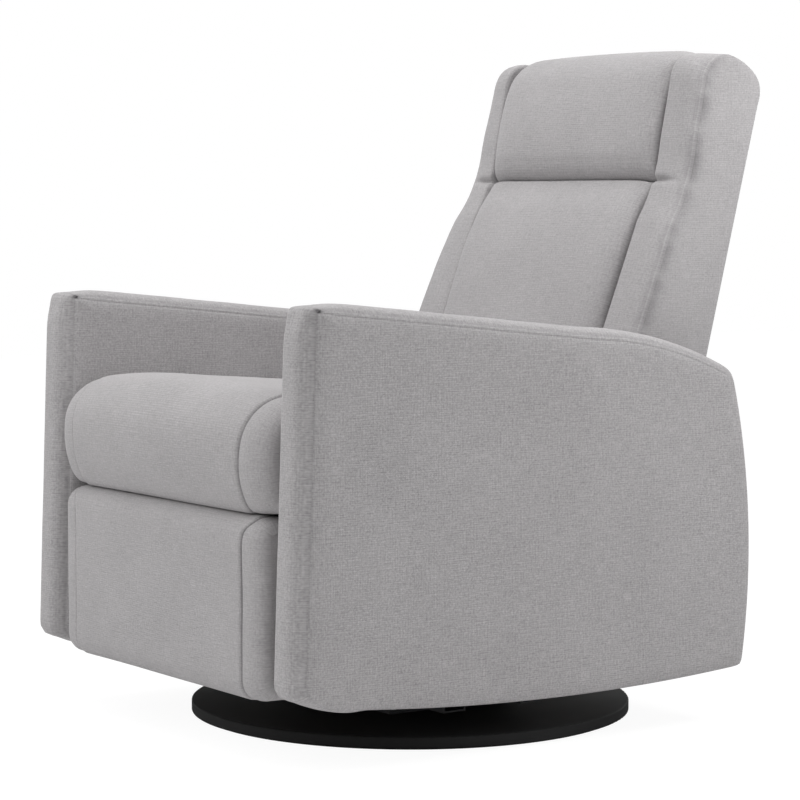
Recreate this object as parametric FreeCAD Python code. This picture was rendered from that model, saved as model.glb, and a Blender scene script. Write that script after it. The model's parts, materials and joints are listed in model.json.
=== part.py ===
# A swivel rocker recliner in millimetres, built as it comes apart on a bench.
# The origin is on the floor under the swivel post. +Z is up, the sitter faces -Y
# and +X is the sitter's left. Flat outlines are lists of (y, z) points.

import FreeCAD
import Part
import math
import os

# Clearances
RUN_GAP = 0.05
SOFT_GAP = 0.3
FACE_GAP = 0.2

# Base disc
FLOOR_PAD_THICK = 3.0
FLOOR_PAD_INSET = 10.0
DISC_RADIUS = 334.0
DISC_THICK = 17.0
DISC_EDGE_ROUND = 2.0

# Swivel bearing
SWIVEL_PLATE_SIDE = 230.0
SWIVEL_PLATE_THICK = 4.0
BALL_RADIUS = 5.0
BALL_COUNT = 20
BALL_GAP = 0.1
RACE_RADIUS = 80.0
RACE_DEPTH = 2.0
KINGPIN_RADIUS = 8.0
KINGPIN_NUT_RADIUS = 14.0
KINGPIN_NUT_THICK = 7.0
SCREW_RADIUS = 3.0
SCREW_HEAD_RADIUS = 5.5
SCREW_HEAD_THICK = 2.5
SCREW_LENGTH = 14.0
SCREW_SPREAD = 100.0

# Turning beams
BEAM_LENGTH = 430.0
BEAM_WIDTH = 40.0
BEAM_HEIGHT = 25.0
BEAM_WALL = 2.5
BEAM_Y = 70.0
BOLT_RADIUS = 4.0
BOLT_HEAD_RADIUS = 6.5
BOLT_HEAD_THICK = 5.0
PLATE_BOLT_X = 80.0
FOOT_BOLT_X = 160.0

# Rocker
ROCK_LIMIT = 8.0
ROCK_AXIS_RISE = 86.0
BRACKET_X = 190.0
BRACKET_THICK = 6.0
BRACKET_HALF = 130.0
BRACKET_TOP_HALF = 95.0
BRACKET_TOP_RISE = 15.0
FOOT_THICK = 5.0
FOOT_INNER_X = 148.0
ROCKER_GAP = 2.0
ROCKER_THICK = 6.0
ROCKER_HUB_RADIUS = 20.0
ROCKER_END_DEPTH = 10.0
FLANGE_RISE = 50.0
FLANGE_THICK = 5.0
FLANGE_OUTER_X = 219.0
ROCKER_PIN_RADIUS = 10.0
ROCKER_PIN_HEAD_RADIUS = 14.0
ROCKER_PIN_HEAD_THICK = 5.0
BUSH_WALL = 3.0
BUSH_PROUD = 0.5
BUFFER_Y = 80.0
BUFFER_WIDTH = 24.0
BUFFER_SEAT_DEPTH = 8.0
BUFFER_LIP = 7.0
BUFFER_GAP = 0.5
SPRING_X = 169.0
SPRING_Y = 105.0
SPRING_RADIUS = 15.0
SPRING_WIRE_RADIUS = 2.2
SPRING_TURNS = 6

# Seat frame
SEAT_DECK = 330.0
SIDE_RAIL_THICK = 22.0
SIDE_RAIL_DEPTH = 130.0
SIDE_RAIL_FRONT = -340.0
CROSS_RAIL_WIDTH = 45.0
CROSS_RAIL_HEIGHT = 45.0
CROSS_RAIL_Y = 100.0
SEAT_RAIL_WIDTH = 30.0
SEAT_RAIL_DEPTH = 30.0
SEAT_RAIL_FRONT = -335.0
SEAT_RAIL_REAR = 90.0
WEBBING_WIDTH = 50.0
WEBBING_THICK = 2.0
WEBBING_COUNT = 5
WEBBING_PITCH = 100.0
SIDE_PLATE_THICK = 3.0
SIDE_PLATE_STRIP = 34.0
SIDE_PLATE_DROP = 8.0
SIDE_PLATE_FRONT = -345.0
FRAME_BOLT_YS = (-148.0, 40.0, 250.0)
FRAME_BOLT_DROP = 105.0
FRAME_BOLT_REACH = 30.0
RAIL_SCREW_LENGTH = 30.0

# Seat cushion
SEAT_HALF = 299.0
SEAT_ARM_GAP = 6.0
SEAT_TOP = 504.0
SEAT_CROWN = 12.0
SEAT_DRAW_IN = 18.0
SEAT_CROWN_Y = -150.0
SEAT_ROLL_Y = -372.0
SEAT_FRONT = -450.0
SEAT_ROLL_Z = 428.0
SEAT_LIP_Y = -424.0
SEAT_LIP_Z = 351.0
SEAT_LIP_REAR = -352.0
SEAT_REAR_FOOT = 92.0
SEAT_REAR_TOP = 158.0
SEAT_REAR_Z = 476.0

# Arms
ARM_THICK = 76.0
ARM_CROWN = 10.0
ARM_FRONT_CROWN = 18.0
ARM_REAR_CROWN = 4.0
ARM_FRONT_TOP = (-409.0, 627.0)
ARM_FRONT_FOOT = (-428.0, 104.0)
ARM_BELLY = (0.0, 70.0)
ARM_REAR_FOOT = (335.0, 91.0)
ARM_REAR_BULGE = (352.0, 300.0)
ARM_REAR_TOP = (315.0, 520.0)
ARM_SHOULDER = (205.0, 566.0)
ARM_TOP_END = (60.0, 589.0)
ARM_BOARD_THICK = 30.0
ARM_BOARD_INSET = 26.0
ARM_BOARD_LIFT = 4.0

# Backrest
BACK_AXIS = (205.0, 345.0)
RECLINE_LIMIT = 30.0
REAR_LEAN = 14.35
REAR_REACH = 102.5
FRONT_LEAN = 23.1
FRONT_REACH = 73.3
HEAD_LEAN = 14.5
CREASE_Z = 800.0
BACK_ARM_GAP = 33.0
BOLSTER_WIDTH = 67.0
BACK_FOOT_Z = 376.0
BACK_TOP = 998.0
BACK_TOP_FRONT_Z = 966.0
BACK_TOP_REAR_Z = 938.0
BACK_PANEL_THICK = 12.0
BACK_PANEL_FOOT_Z = 280.0
BOLSTER_CROWN = 7.0
UPRIGHT_THICK = 26.0
UPRIGHT_DEPTH = 48.0
UPRIGHT_COVER = 10.0
UPRIGHT_FOOT_Z = 332.0
UPRIGHT_TOP_Z = 925.0
BACK_RAIL_DEPTH = 37.0
BACK_RAIL_HEIGHT = 40.0
BACK_RAIL_ZS = (386.0, 858.0)
LUMBAR_CROWN = 22.0
PILLOW_CROWN = 26.0
PILLOW_TOP = 1006.0
CUSHION_DRAW_IN = 12.0
BACK_BRACKET_THICK = 4.0
BACK_BRACKET_RADIUS = 24.0
BACK_BRACKET_TOP_Z = 600.0
BACK_PIN_RADIUS = 8.0
BACK_PIN_HEAD_RADIUS = 11.0
BACK_PIN_HEAD_THICK = 3.5

# Rear panel between the arms
REAR_BOARD_GAP = 5.5
REAR_BOARD_THICK = 13.0
REAR_BOARD_FOOT = 112.0
REAR_PAD_FOOT = 98.0
REAR_PAD_THICK = 20.0
REAR_PAD_CROWN = 5.0
STRIKE_GAP = 1.5

# Footrest pad
PAD_TOP = 341.0
PAD_BOTTOM = 95.0
PAD_FRONT = -448.0
PAD_BACK = -370.0
PAD_CROWN = 5.0
PAD_EDGE = 28.0
PAD_DRAW_IN = 14.0
FOOT_BOARD_THICK = 15.0
FOOT_BOARD_MARGIN = 12.0

# Footrest linkage
FOOTREST_LIMIT = 85.0
CROSS_SWING = -32.0
DRIVE_Y = -235.0
DRIVE_DROP = 25.0
DRIVE_REACH = 140.0
DRIVE_START = -88.0
LINK_SPAN = 55.0
LINK_TAIL = 65.0
KNEE_Z = 279.0
KNEE_SETBACK = 21.0
LINK_WIDTH = 20.0
LINK_THICK = 5.0
LINK_GAP = 3.0
DRIVE_LINK_GAP = 5.0
LINK_PIN_RADIUS = 4.0
LINK_PIN_HEAD_RADIUS = 6.5
LINK_PIN_HEAD_THICK = 2.0
GUIDE_PIN_RADIUS = 5.0
GUIDE_GAP = 0.3
GUIDE_STEPS = 12
TUBE_RADIUS = 9.0
FOOT_BRACKET_FLANGE = 30.0
FOOT_BRACKET_STEEL = 3.0
FOOT_BRACKET_DROP = 45.0

# Lever on the sitter's right
LEVER_ANGLE = -12.0
LEVER_LENGTH = 128.0
LEVER_THICK = 7.0
LEVER_WIDTH = 20.0
LEVER_STANDOFF = 6.0
LEVER_HUB_RADIUS = 16.0
LEVER_HUB_LENGTH = 14.0
GRIP_START = 52.0
GRIP_WIDTH = 30.0
GRIP_THICK = 19.0
GRIP_ROUND = 6.0

# Heights worked out from the floor up
DISC_TOP = FLOOR_PAD_THICK + DISC_THICK
LOWER_PLATE_TOP = DISC_TOP + SWIVEL_PLATE_THICK
BALL_Z = LOWER_PLATE_TOP - RACE_DEPTH + BALL_RADIUS + BALL_GAP
UPPER_PLATE_FOOT = BALL_Z + BALL_RADIUS + BALL_GAP - RACE_DEPTH
UPPER_PLATE_TOP = UPPER_PLATE_FOOT + SWIVEL_PLATE_THICK
BEAM_TOP = UPPER_PLATE_TOP + BEAM_HEIGHT
FOOT_TOP = BEAM_TOP + FOOT_THICK
ROCK_AXIS = (0.0, FOOT_TOP + ROCK_AXIS_RISE)
FLANGE_FOOT = ROCK_AXIS[1] + FLANGE_RISE
FLANGE_TOP = FLANGE_FOOT + FLANGE_THICK
CUSHION_FOOT = SEAT_DECK + WEBBING_THICK + SOFT_GAP

# Widths worked out from the seat cushion
PAD_HALF = SEAT_HALF
ARM_INNER = SEAT_HALF + SEAT_ARM_GAP
ARM_OUTER = ARM_INNER + ARM_THICK
ARM_BOARD_INNER = ARM_INNER + (ARM_THICK - ARM_BOARD_THICK) / 2
ARM_BOARD_OUTER = ARM_BOARD_INNER + ARM_BOARD_THICK
SIDE_RAIL_INNER = ARM_INNER - SIDE_RAIL_THICK
SIDE_PLATE_INNER = SIDE_RAIL_INNER - SIDE_PLATE_THICK
BACK_HALF = ARM_INNER - BACK_ARM_GAP
CENTRE_HALF = BACK_HALF - BOLSTER_WIDTH
UPRIGHT_OUTER = BACK_HALF - UPRIGHT_COVER
DRIVE_LAYER = (SIDE_PLATE_INNER - DRIVE_LINK_GAP - LINK_THICK, SIDE_PLATE_INNER - DRIVE_LINK_GAP)
CROSS_LAYER = (DRIVE_LAYER[0] - LINK_GAP - LINK_THICK, DRIVE_LAYER[0] - LINK_GAP)
BRACKET_LAYER = (CROSS_LAYER[0] - LINK_GAP - LINK_THICK, CROSS_LAYER[0] - LINK_GAP)
ROCKER_X = BRACKET_X + BRACKET_THICK + ROCKER_GAP
REAR_BOARD_FRONT = BACK_AXIS[0] + REAR_REACH + REAR_BOARD_GAP
REAR_PAD_FRONT = REAR_BOARD_FRONT + REAR_BOARD_THICK + SOFT_GAP
SIDE_PLATE_TOP = SEAT_DECK - SEAT_RAIL_DEPTH - SIDE_PLATE_DROP
SIDE_PLATE_STRIP_FOOT = SIDE_PLATE_TOP - SIDE_PLATE_STRIP

# Soft forms are lofted through stations across their width and draw in near both ends
SOFT_STATIONS = (-1.0, -0.97, -0.92, -0.84, -0.7, -0.4, 0.0, 0.4, 0.7, 0.84, 0.92, 0.97, 1.0)
DRAW_POWER = 8
BOLSTER_DRAW_POWER = 4


# Geometry helpers

def vector(x, y, z):
    return FreeCAD.Vector(x, y, z)


def block(xs, ys, zs):
    """A box between two values along each axis."""
    return Part.makeBox(xs[1] - xs[0], ys[1] - ys[0], zs[1] - zs[0], vector(xs[0], ys[0], zs[0]))


def rod_x(xs, centre, radius):
    """A round bar along X at a (y, z) centre."""
    return Part.makeCylinder(radius, xs[1] - xs[0], vector(xs[0], *centre), vector(1, 0, 0))


def rod_z(x, y, zs, radius):
    """An upright round bar."""
    return Part.makeCylinder(radius, zs[1] - zs[0], vector(x, y, zs[0]))


def outline(x, start, steps):
    """A closed wire at one x. A step of one point is a line, one of two points an arc."""
    edges = []
    here = vector(x, *start)
    for step in steps + [(start,)]:
        end = vector(x, *step[-1])
        if len(step) == 2:
            edges.append(Part.Arc(here, vector(x, *step[0]), end).toShape())
        elif here.distanceToPoint(end) > 1e-6:
            edges.append(Part.LineSegment(here, end).toShape())
        here = end
    return Part.Wire(edges)


def plate(xs, start, steps):
    """A flat plate whose outline is extruded from one x to another."""
    return Part.Face(outline(xs[0], start, steps)).extrude(vector(xs[1] - xs[0], 0, 0))


def polygon(xs, points):
    return plate(xs, points[0], [(point,) for point in points[1:]])


def bar(xs, start, end, width):
    """A flat link with round ends between two (y, z) pivots."""
    length = math.dist(start, end)
    along = ((end[0] - start[0]) / length * width / 2, (end[1] - start[1]) / length * width / 2)
    across = (-along[1], along[0])
    steps = [
        (offset(end, across, 1),),
        (offset(end, along, 1), offset(end, across, -1)),
        (offset(start, across, -1),),
        (offset(start, along, -1), offset(start, across, 1)),
    ]
    return plate(xs, offset(start, across, 1), steps)


def offset(point, step, factor):
    return (point[0] + factor * step[0], point[1] + factor * step[1])


def mirrored(shape):
    """The same piece on the sitter's right."""
    return shape.mirror(vector(0, 0, 0), vector(1, 0, 0))


def both_sides(*shapes):
    """Separate solids for the two sides of the chair in one group."""
    return Part.makeCompound(list(shapes) + [mirrored(shape) for shape in shapes])


def soft_form(xs, stations, outline_at):
    """A loft across the width, with stations from -1 to 1 between the two xs."""
    middle = (xs[0] + xs[1]) / 2
    half = (xs[1] - xs[0]) / 2
    wires = [outline(middle + half * share, *outline_at(share)) for share in stations]
    return Part.makeLoft(wires, True, False)


def headed_pin(xs, centre, radius, head_radius, head_thick):
    """A pin with a head outside each end of its span."""
    shank = rod_x((xs[0] - head_thick, xs[1] + head_thick), centre, radius)
    inner = rod_x((xs[0] - head_thick, xs[0]), centre, head_radius)
    outer = rod_x((xs[1], xs[1] + head_thick), centre, head_radius)
    return shank.fuse([inner, outer]).removeSplitter()


def bolt_down(x, y, top, foot):
    """A bolt with its head above top and its end at foot."""
    head = rod_z(x, y, (top, top + BOLT_HEAD_THICK), BOLT_HEAD_RADIUS)
    return head.fuse(rod_z(x, y, (foot, top), BOLT_RADIUS)).removeSplitter()


# Base

def floor_pad():
    return Part.makeCylinder(DISC_RADIUS - FLOOR_PAD_INSET, FLOOR_PAD_THICK)


def screw_places():
    return [(x, y) for x in (-SCREW_SPREAD, SCREW_SPREAD) for y in (-SCREW_SPREAD, SCREW_SPREAD)]


def base_disc():
    disc = Part.makeCylinder(DISC_RADIUS, DISC_THICK, vector(0, 0, FLOOR_PAD_THICK))
    disc = disc.makeFillet(DISC_EDGE_ROUND, [e for e in disc.Edges if len(e.Vertexes) == 1])
    screw_foot = LOWER_PLATE_TOP - SCREW_LENGTH
    holes = [rod_z(x, y, (screw_foot, DISC_TOP), SCREW_RADIUS) for x, y in screw_places()]
    return disc.cut(holes)


def race():
    """The ring of space that the bearing balls run in."""
    return Part.makeTorus(RACE_RADIUS, BALL_RADIUS + BALL_GAP, vector(0, 0, BALL_Z))


def square_plate(zs, hole_radius):
    half = SWIVEL_PLATE_SIDE / 2
    body = block((-half, half), (-half, half), zs)
    return body.cut([race(), rod_z(0, 0, zs, hole_radius)])


def lower_plate():
    zs = (DISC_TOP, LOWER_PLATE_TOP)
    return square_plate(zs, KINGPIN_RADIUS).cut([rod_z(x, y, zs, SCREW_RADIUS) for x, y in screw_places()])


def kingpin():
    nut_foot = UPPER_PLATE_TOP + FACE_GAP
    shank = rod_z(0, 0, (DISC_TOP, nut_foot), KINGPIN_RADIUS)
    nut = rod_z(0, 0, (nut_foot, nut_foot + KINGPIN_NUT_THICK), KINGPIN_NUT_RADIUS)
    return shank.fuse(nut).removeSplitter()


def bearing_balls():
    turns = [2 * math.pi * i / BALL_COUNT for i in range(BALL_COUNT)]
    places = [vector(RACE_RADIUS * math.cos(t), RACE_RADIUS * math.sin(t), BALL_Z) for t in turns]
    return Part.makeCompound([Part.makeSphere(BALL_RADIUS, place) for place in places])


def plate_screws():
    screws = []
    for x, y in screw_places():
        head = rod_z(x, y, (LOWER_PLATE_TOP, LOWER_PLATE_TOP + SCREW_HEAD_THICK), SCREW_HEAD_RADIUS)
        shank = rod_z(x, y, (LOWER_PLATE_TOP - SCREW_LENGTH, LOWER_PLATE_TOP), SCREW_RADIUS)
        screws.append(head.fuse(shank).removeSplitter())
    return Part.makeCompound(screws)


# Turning beams and rocker brackets

def bolt_places(x):
    return [(x * side, BEAM_Y * end) for side in (-1, 1) for end in (-1, 1)]


def upper_plate():
    zs = (UPPER_PLATE_FOOT, UPPER_PLATE_TOP)
    holes = [rod_z(x, y, zs, BOLT_RADIUS) for x, y in bolt_places(PLATE_BOLT_X)]
    return square_plate(zs, KINGPIN_RADIUS + RUN_GAP).cut(holes)


def swivel_beams():
    """Two square tubes across the swivel plate, open at both ends."""
    half = BEAM_LENGTH / 2
    beams = []
    for end in (-1, 1):
        middle = end * BEAM_Y
        zs = (UPPER_PLATE_TOP, BEAM_TOP)
        ys = (middle - BEAM_WIDTH / 2, middle + BEAM_WIDTH / 2)
        outside = block((-half, half), ys, zs)
        inner_ys = (ys[0] + BEAM_WALL, ys[1] - BEAM_WALL)
        inside = block((-half, half), inner_ys, (zs[0] + BEAM_WALL, zs[1] - BEAM_WALL))
        places = bolt_places(PLATE_BOLT_X) + bolt_places(FOOT_BOLT_X)
        holes = [rod_z(x, y, zs, BOLT_RADIUS) for x, y in places if y == middle]
        beams.append(outside.cut([inside] + holes))
    return Part.makeCompound(beams)


def beam_bolts():
    bolts = [bolt_down(x, y, BEAM_TOP, UPPER_PLATE_FOOT) for x, y in bolt_places(PLATE_BOLT_X)]
    bolts += [bolt_down(x, y, FOOT_TOP, UPPER_PLATE_TOP) for x, y in bolt_places(FOOT_BOLT_X)]
    return Part.makeCompound(bolts)


def rocker_bracket():
    """A foot plate on the beams with a standing plate that carries the rocker bush."""
    foot = block((FOOT_INNER_X, BEAM_LENGTH / 2), (-BRACKET_HALF, BRACKET_HALF), (BEAM_TOP, FOOT_TOP))
    top = ROCK_AXIS[1] + BRACKET_TOP_RISE
    points = [
        (-BRACKET_HALF, FOOT_TOP),
        (BRACKET_HALF, FOOT_TOP),
        (BRACKET_TOP_HALF, top),
        (-BRACKET_TOP_HALF, top),
    ]
    xs = (BRACKET_X, BRACKET_X + BRACKET_THICK)
    standing = polygon(xs, points).cut(rod_x(xs, ROCK_AXIS, ROCKER_PIN_RADIUS + RUN_GAP + BUSH_WALL))
    holes = [rod_z(x, y, (BEAM_TOP, FOOT_TOP), BOLT_RADIUS) for x, y in bolt_places(FOOT_BOLT_X) if x > 0]
    return foot.cut(holes).fuse(standing).removeSplitter()


def rocker_bushes():
    xs = (BRACKET_X - BUSH_PROUD, BRACKET_X + BRACKET_THICK + BUSH_PROUD)
    bore = ROCKER_PIN_RADIUS + RUN_GAP
    return both_sides(rod_x(xs, ROCK_AXIS, bore + BUSH_WALL).cut(rod_x(xs, ROCK_AXIS, bore)))


def rock_buffers():
    """Rubber blocks on the brackets' shoulders that end the rocking."""
    seat = ROCK_AXIS[1] + BRACKET_TOP_RISE
    far = BUFFER_Y + BUFFER_WIDTH / 2
    limit = math.radians(ROCK_LIMIT)
    top = ROCK_AXIS[1] + (FLANGE_RISE - far * math.sin(limit)) / math.cos(limit) - BUFFER_GAP
    xs = (BRACKET_X - BUFFER_LIP, BRACKET_X + BRACKET_THICK + ROCKER_GAP - BUFFER_GAP)
    blocks = []
    for end in (-1, 1):
        ys = (end * BUFFER_Y - BUFFER_WIDTH / 2, end * BUFFER_Y + BUFFER_WIDTH / 2)
        body = block(xs, ys, (seat - BUFFER_SEAT_DEPTH, top))
        groove = block((BRACKET_X, BRACKET_X + BRACKET_THICK), ys, (seat - BUFFER_SEAT_DEPTH, seat))
        blocks.append(body.cut(groove))
    return both_sides(*blocks)


# Rocker arms and springs

def rail_screw_places():
    x = (ROCKER_X + ROCKER_THICK + FLANGE_OUTER_X) / 2
    return [(x, -CROSS_RAIL_Y), (x, CROSS_RAIL_Y)]


def rocker_arm():
    """A hanging plate on the rocker pin, with a flange under the cross rails."""
    half = BRACKET_HALF
    axis_z = ROCK_AXIS[1]
    hub = ROCKER_HUB_RADIUS
    steps = [
        ((-half, FLANGE_FOOT - ROCKER_END_DEPTH),),
        ((-hub, axis_z),),
        ((0.0, axis_z - hub), (hub, axis_z)),
        ((half, FLANGE_FOOT - ROCKER_END_DEPTH),),
        ((half, FLANGE_FOOT),),
    ]
    xs = (ROCKER_X, ROCKER_X + ROCKER_THICK)
    web = plate(xs, (-half, FLANGE_FOOT), steps).cut(rod_x(xs, ROCK_AXIS, ROCKER_PIN_RADIUS))
    flange = block((FOOT_INNER_X, FLANGE_OUTER_X), (-half, half), (FLANGE_FOOT, FLANGE_TOP))
    holes = [rod_z(x, y, (FLANGE_FOOT, FLANGE_TOP), SCREW_RADIUS) for x, y in rail_screw_places()]
    return web.fuse(flange.cut(holes)).removeSplitter()


def rocker_pins():
    xs = (BRACKET_X - BUSH_PROUD - FACE_GAP, ROCKER_X + ROCKER_THICK)
    head = (ROCKER_PIN_HEAD_RADIUS, ROCKER_PIN_HEAD_THICK)
    return both_sides(headed_pin(xs, ROCK_AXIS, ROCKER_PIN_RADIUS, *head))


def helix_point(turn, height):
    """Place and direction on the spring's centre line after a number of turns."""
    angle = 2 * math.pi * turn
    across = SPRING_RADIUS * math.cos(angle)
    along = SPRING_RADIUS * math.sin(angle)
    place = vector(across, along, height * turn / SPRING_TURNS)
    heading = vector(-along, across, height / SPRING_TURNS / (2 * math.pi))
    return place, heading.normalize()


def arc_between(start, corner, end):
    """The arc from start to end that is tangent to both legs of the corner between them."""
    middle = (start + end) * 0.5
    half_chord = start.distanceToPoint(end) / 2
    leg = start.distanceToPoint(corner)
    height = corner.distanceToPoint(middle)
    sagitta = half_chord * (leg - half_chord) / height
    return Part.Arc(start, middle + (corner - middle) * (sagitta / height), end).toShape()


def biarc(start, start_heading, end, end_heading):
    """Two tangent arcs that join two points with given headings."""
    span = end - start
    both = start_heading + end_heading
    a = 2 * (1 - start_heading.dot(end_heading))
    b = 2 * span.dot(both)
    c = -span.dot(span)
    leg = (-b + math.sqrt(b * b - 4 * a * c)) / (2 * a)
    first = start + start_heading * leg
    second = end - end_heading * leg
    joint = (first + second) * 0.5
    return [arc_between(start, first, joint), arc_between(joint, second, end)]


def rocker_springs():
    """Four coil springs between the brackets' feet and the rocker flanges."""
    end_gap = SPRING_WIRE_RADIUS + FACE_GAP
    height = FLANGE_FOOT - FOOT_TOP - 2 * end_gap
    edges = []
    for quarter in range(4 * SPRING_TURNS):
        edges += biarc(*helix_point(quarter / 4, height), *helix_point((quarter + 1) / 4, height))
    place, heading = helix_point(0, height)
    ring = Part.Wire(Part.makeCircle(SPRING_WIRE_RADIUS, place, heading))
    coil = Part.Wire(edges).makePipeShell([ring], True, False)
    print("least gap between spring turns", round(height / SPRING_TURNS - 2 * SPRING_WIRE_RADIUS, 2))
    coils = []
    for y in (-SPRING_Y, SPRING_Y):
        coils.append(coil.translated(vector(SPRING_X, y, FOOT_TOP + end_gap)))
    return both_sides(*coils)


# Seat frame

def cross_rails():
    xs = (-SIDE_RAIL_INNER, SIDE_RAIL_INNER)
    zs = (FLANGE_TOP, FLANGE_TOP + CROSS_RAIL_HEIGHT)
    half = CROSS_RAIL_WIDTH / 2
    rails = [block(xs, (end * CROSS_RAIL_Y - half, end * CROSS_RAIL_Y + half), zs) for end in (-1, 1)]
    screw_tip = FLANGE_FOOT + RAIL_SCREW_LENGTH
    holes = [rod_z(x, y, (FLANGE_TOP, screw_tip), SCREW_RADIUS) for x, y in rail_screw_places()]
    return Part.makeCompound([rail.cut(holes + [mirrored(hole) for hole in holes]) for rail in rails])


def drive_axis():
    return (DRIVE_Y, SEAT_DECK - SEAT_RAIL_DEPTH - DRIVE_DROP)


def frame_bolt_places():
    return [(y, SEAT_DECK - FRAME_BOLT_DROP) for y in FRAME_BOLT_YS]


def frame_bolt_holes():
    xs = (SIDE_RAIL_INNER, ARM_INNER + FRAME_BOLT_REACH)
    return [rod_x(xs, place, BOLT_RADIUS) for place in frame_bolt_places()]


def tube_way(reach):
    """The hole for the drive tube and its bush, from the side plate out to a reach."""
    return rod_x((SIDE_PLATE_INNER, reach), drive_axis(), TUBE_RADIUS + RUN_GAP + BUSH_WALL)


def side_rail():
    body = block(
        (SIDE_RAIL_INNER, ARM_INNER),
        (SIDE_RAIL_FRONT, REAR_BOARD_FRONT),
        (SEAT_DECK - SIDE_RAIL_DEPTH, SEAT_DECK),
    )
    return body.cut([tube_way(ARM_INNER)] + frame_bolt_holes())


def seat_rail(front):
    """A wooden rail between the side rails, with its front face at the given y."""
    return block(
        (-SIDE_RAIL_INNER, SIDE_RAIL_INNER),
        (front, front + SEAT_RAIL_WIDTH),
        (SEAT_DECK - SEAT_RAIL_DEPTH, SEAT_DECK),
    )


def seat_webbing():
    straps = []
    for i in range(WEBBING_COUNT):
        middle = (i - (WEBBING_COUNT - 1) / 2) * WEBBING_PITCH
        xs = (middle - WEBBING_WIDTH / 2, middle + WEBBING_WIDTH / 2)
        straps.append(block(xs, (SEAT_RAIL_FRONT, SEAT_RAIL_REAR), (SEAT_DECK, SEAT_DECK + WEBBING_THICK)))
    return Part.makeCompound(straps)


def frame_bolts():
    """Bolts through the side rails into the arm boards, and screws up into the cross rails."""
    bolts = []
    for place in frame_bolt_places():
        head = rod_x((SIDE_RAIL_INNER - BOLT_HEAD_THICK, SIDE_RAIL_INNER), place, BOLT_HEAD_RADIUS)
        shank = rod_x((SIDE_RAIL_INNER, ARM_INNER + FRAME_BOLT_REACH), place, BOLT_RADIUS)
        bolts.append(head.fuse(shank).removeSplitter())
    for x, y in rail_screw_places():
        head = rod_z(x, y, (FLANGE_FOOT - SCREW_HEAD_THICK, FLANGE_FOOT), SCREW_HEAD_RADIUS)
        shank = rod_z(x, y, (FLANGE_FOOT, FLANGE_FOOT + RAIL_SCREW_LENGTH), SCREW_RADIUS)
        bolts.append(head.fuse(shank).removeSplitter())
    return both_sides(*bolts)


def guide_slot():
    """The slot that the cross link's guide pin follows as the footrest opens."""
    xs = (SIDE_PLATE_INNER, SIDE_RAIL_INNER)
    radius = GUIDE_PIN_RADIUS + GUIDE_GAP
    places = [linkage(FOOTREST_LIMIT * i / GUIDE_STEPS)["guide"] for i in range(GUIDE_STEPS + 1)]
    return [bar(xs, places[i], places[i + 1], 2 * radius) for i in range(GUIDE_STEPS)]


def side_plate():
    """The steel plate that carries the footrest linkage in front and the back hinge behind."""
    xs = (SIDE_PLATE_INNER, SIDE_RAIL_INNER)
    lowest = linkage(0.0)["guide"]
    farthest = linkage(FOOTREST_LIMIT)["guide"]
    margin = LINK_WIDTH
    boss = BACK_BRACKET_RADIUS
    points = [
        (SIDE_PLATE_FRONT, SIDE_PLATE_TOP),
        (SIDE_PLATE_FRONT, farthest[1] - margin),
        (lowest[0] - margin * 2, lowest[1] - margin / 2),
        (lowest[0] + margin, lowest[1] - margin / 2),
        (lowest[0] + margin * 2, SIDE_PLATE_STRIP_FOOT),
        (BACK_AXIS[0] + boss, SIDE_PLATE_STRIP_FOOT),
        (BACK_AXIS[0] + boss, BACK_AXIS[1]),
        (BACK_AXIS[0] - boss, BACK_AXIS[1]),
        (BACK_AXIS[0] - boss, SIDE_PLATE_TOP),
    ]
    body = polygon(xs, points).fuse(rod_x(xs, BACK_AXIS, boss)).removeSplitter()
    hinge = rod_x(xs, BACK_AXIS, BACK_PIN_RADIUS + RUN_GAP)
    return body.cut(guide_slot() + [tube_way(SIDE_RAIL_INNER), hinge])


def seat_outline(share):
    """Crowned top, rolled front and sides that draw in towards the arms."""
    draw = SEAT_DRAW_IN * abs(share) ** DRAW_POWER
    rise = SEAT_CROWN * (1 - share * share) - draw
    steps = [
        ((SEAT_REAR_TOP, SEAT_REAR_Z + rise),),
        ((SEAT_CROWN_Y, SEAT_TOP + rise), (SEAT_ROLL_Y + draw / 2, SEAT_TOP - draw)),
        ((SEAT_FRONT + draw, SEAT_ROLL_Z), (SEAT_LIP_Y + draw / 2, SEAT_LIP_Z)),
        ((SEAT_LIP_REAR, SEAT_LIP_Z),),
        ((SEAT_RAIL_FRONT, CUSHION_FOOT),),
    ]
    return (SEAT_REAR_FOOT, CUSHION_FOOT), steps


def seat_cushion():
    return soft_form((-SEAT_HALF, SEAT_HALF), SOFT_STATIONS, seat_outline)


# Arms

def arm_outline(share):
    """The arm from the side, crowned by its padding halfway between its two seams."""
    swell = 1 - share * share
    crown = ARM_CROWN * swell
    front = ARM_FRONT_CROWN * swell
    rear = ARM_REAR_CROWN * swell
    steps = [
        ((ARM_FRONT_FOOT[0] - front, ARM_FRONT_FOOT[1]),),
        (ARM_BELLY, ARM_REAR_FOOT),
        ((ARM_REAR_BULGE[0] + rear, ARM_REAR_BULGE[1]), (ARM_REAR_TOP[0] + rear, ARM_REAR_TOP[1] + crown)),
        ((ARM_SHOULDER[0], ARM_SHOULDER[1] + crown), (ARM_TOP_END[0], ARM_TOP_END[1] + crown)),
    ]
    return (ARM_FRONT_TOP[0] - front, ARM_FRONT_TOP[1] + crown), steps


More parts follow.
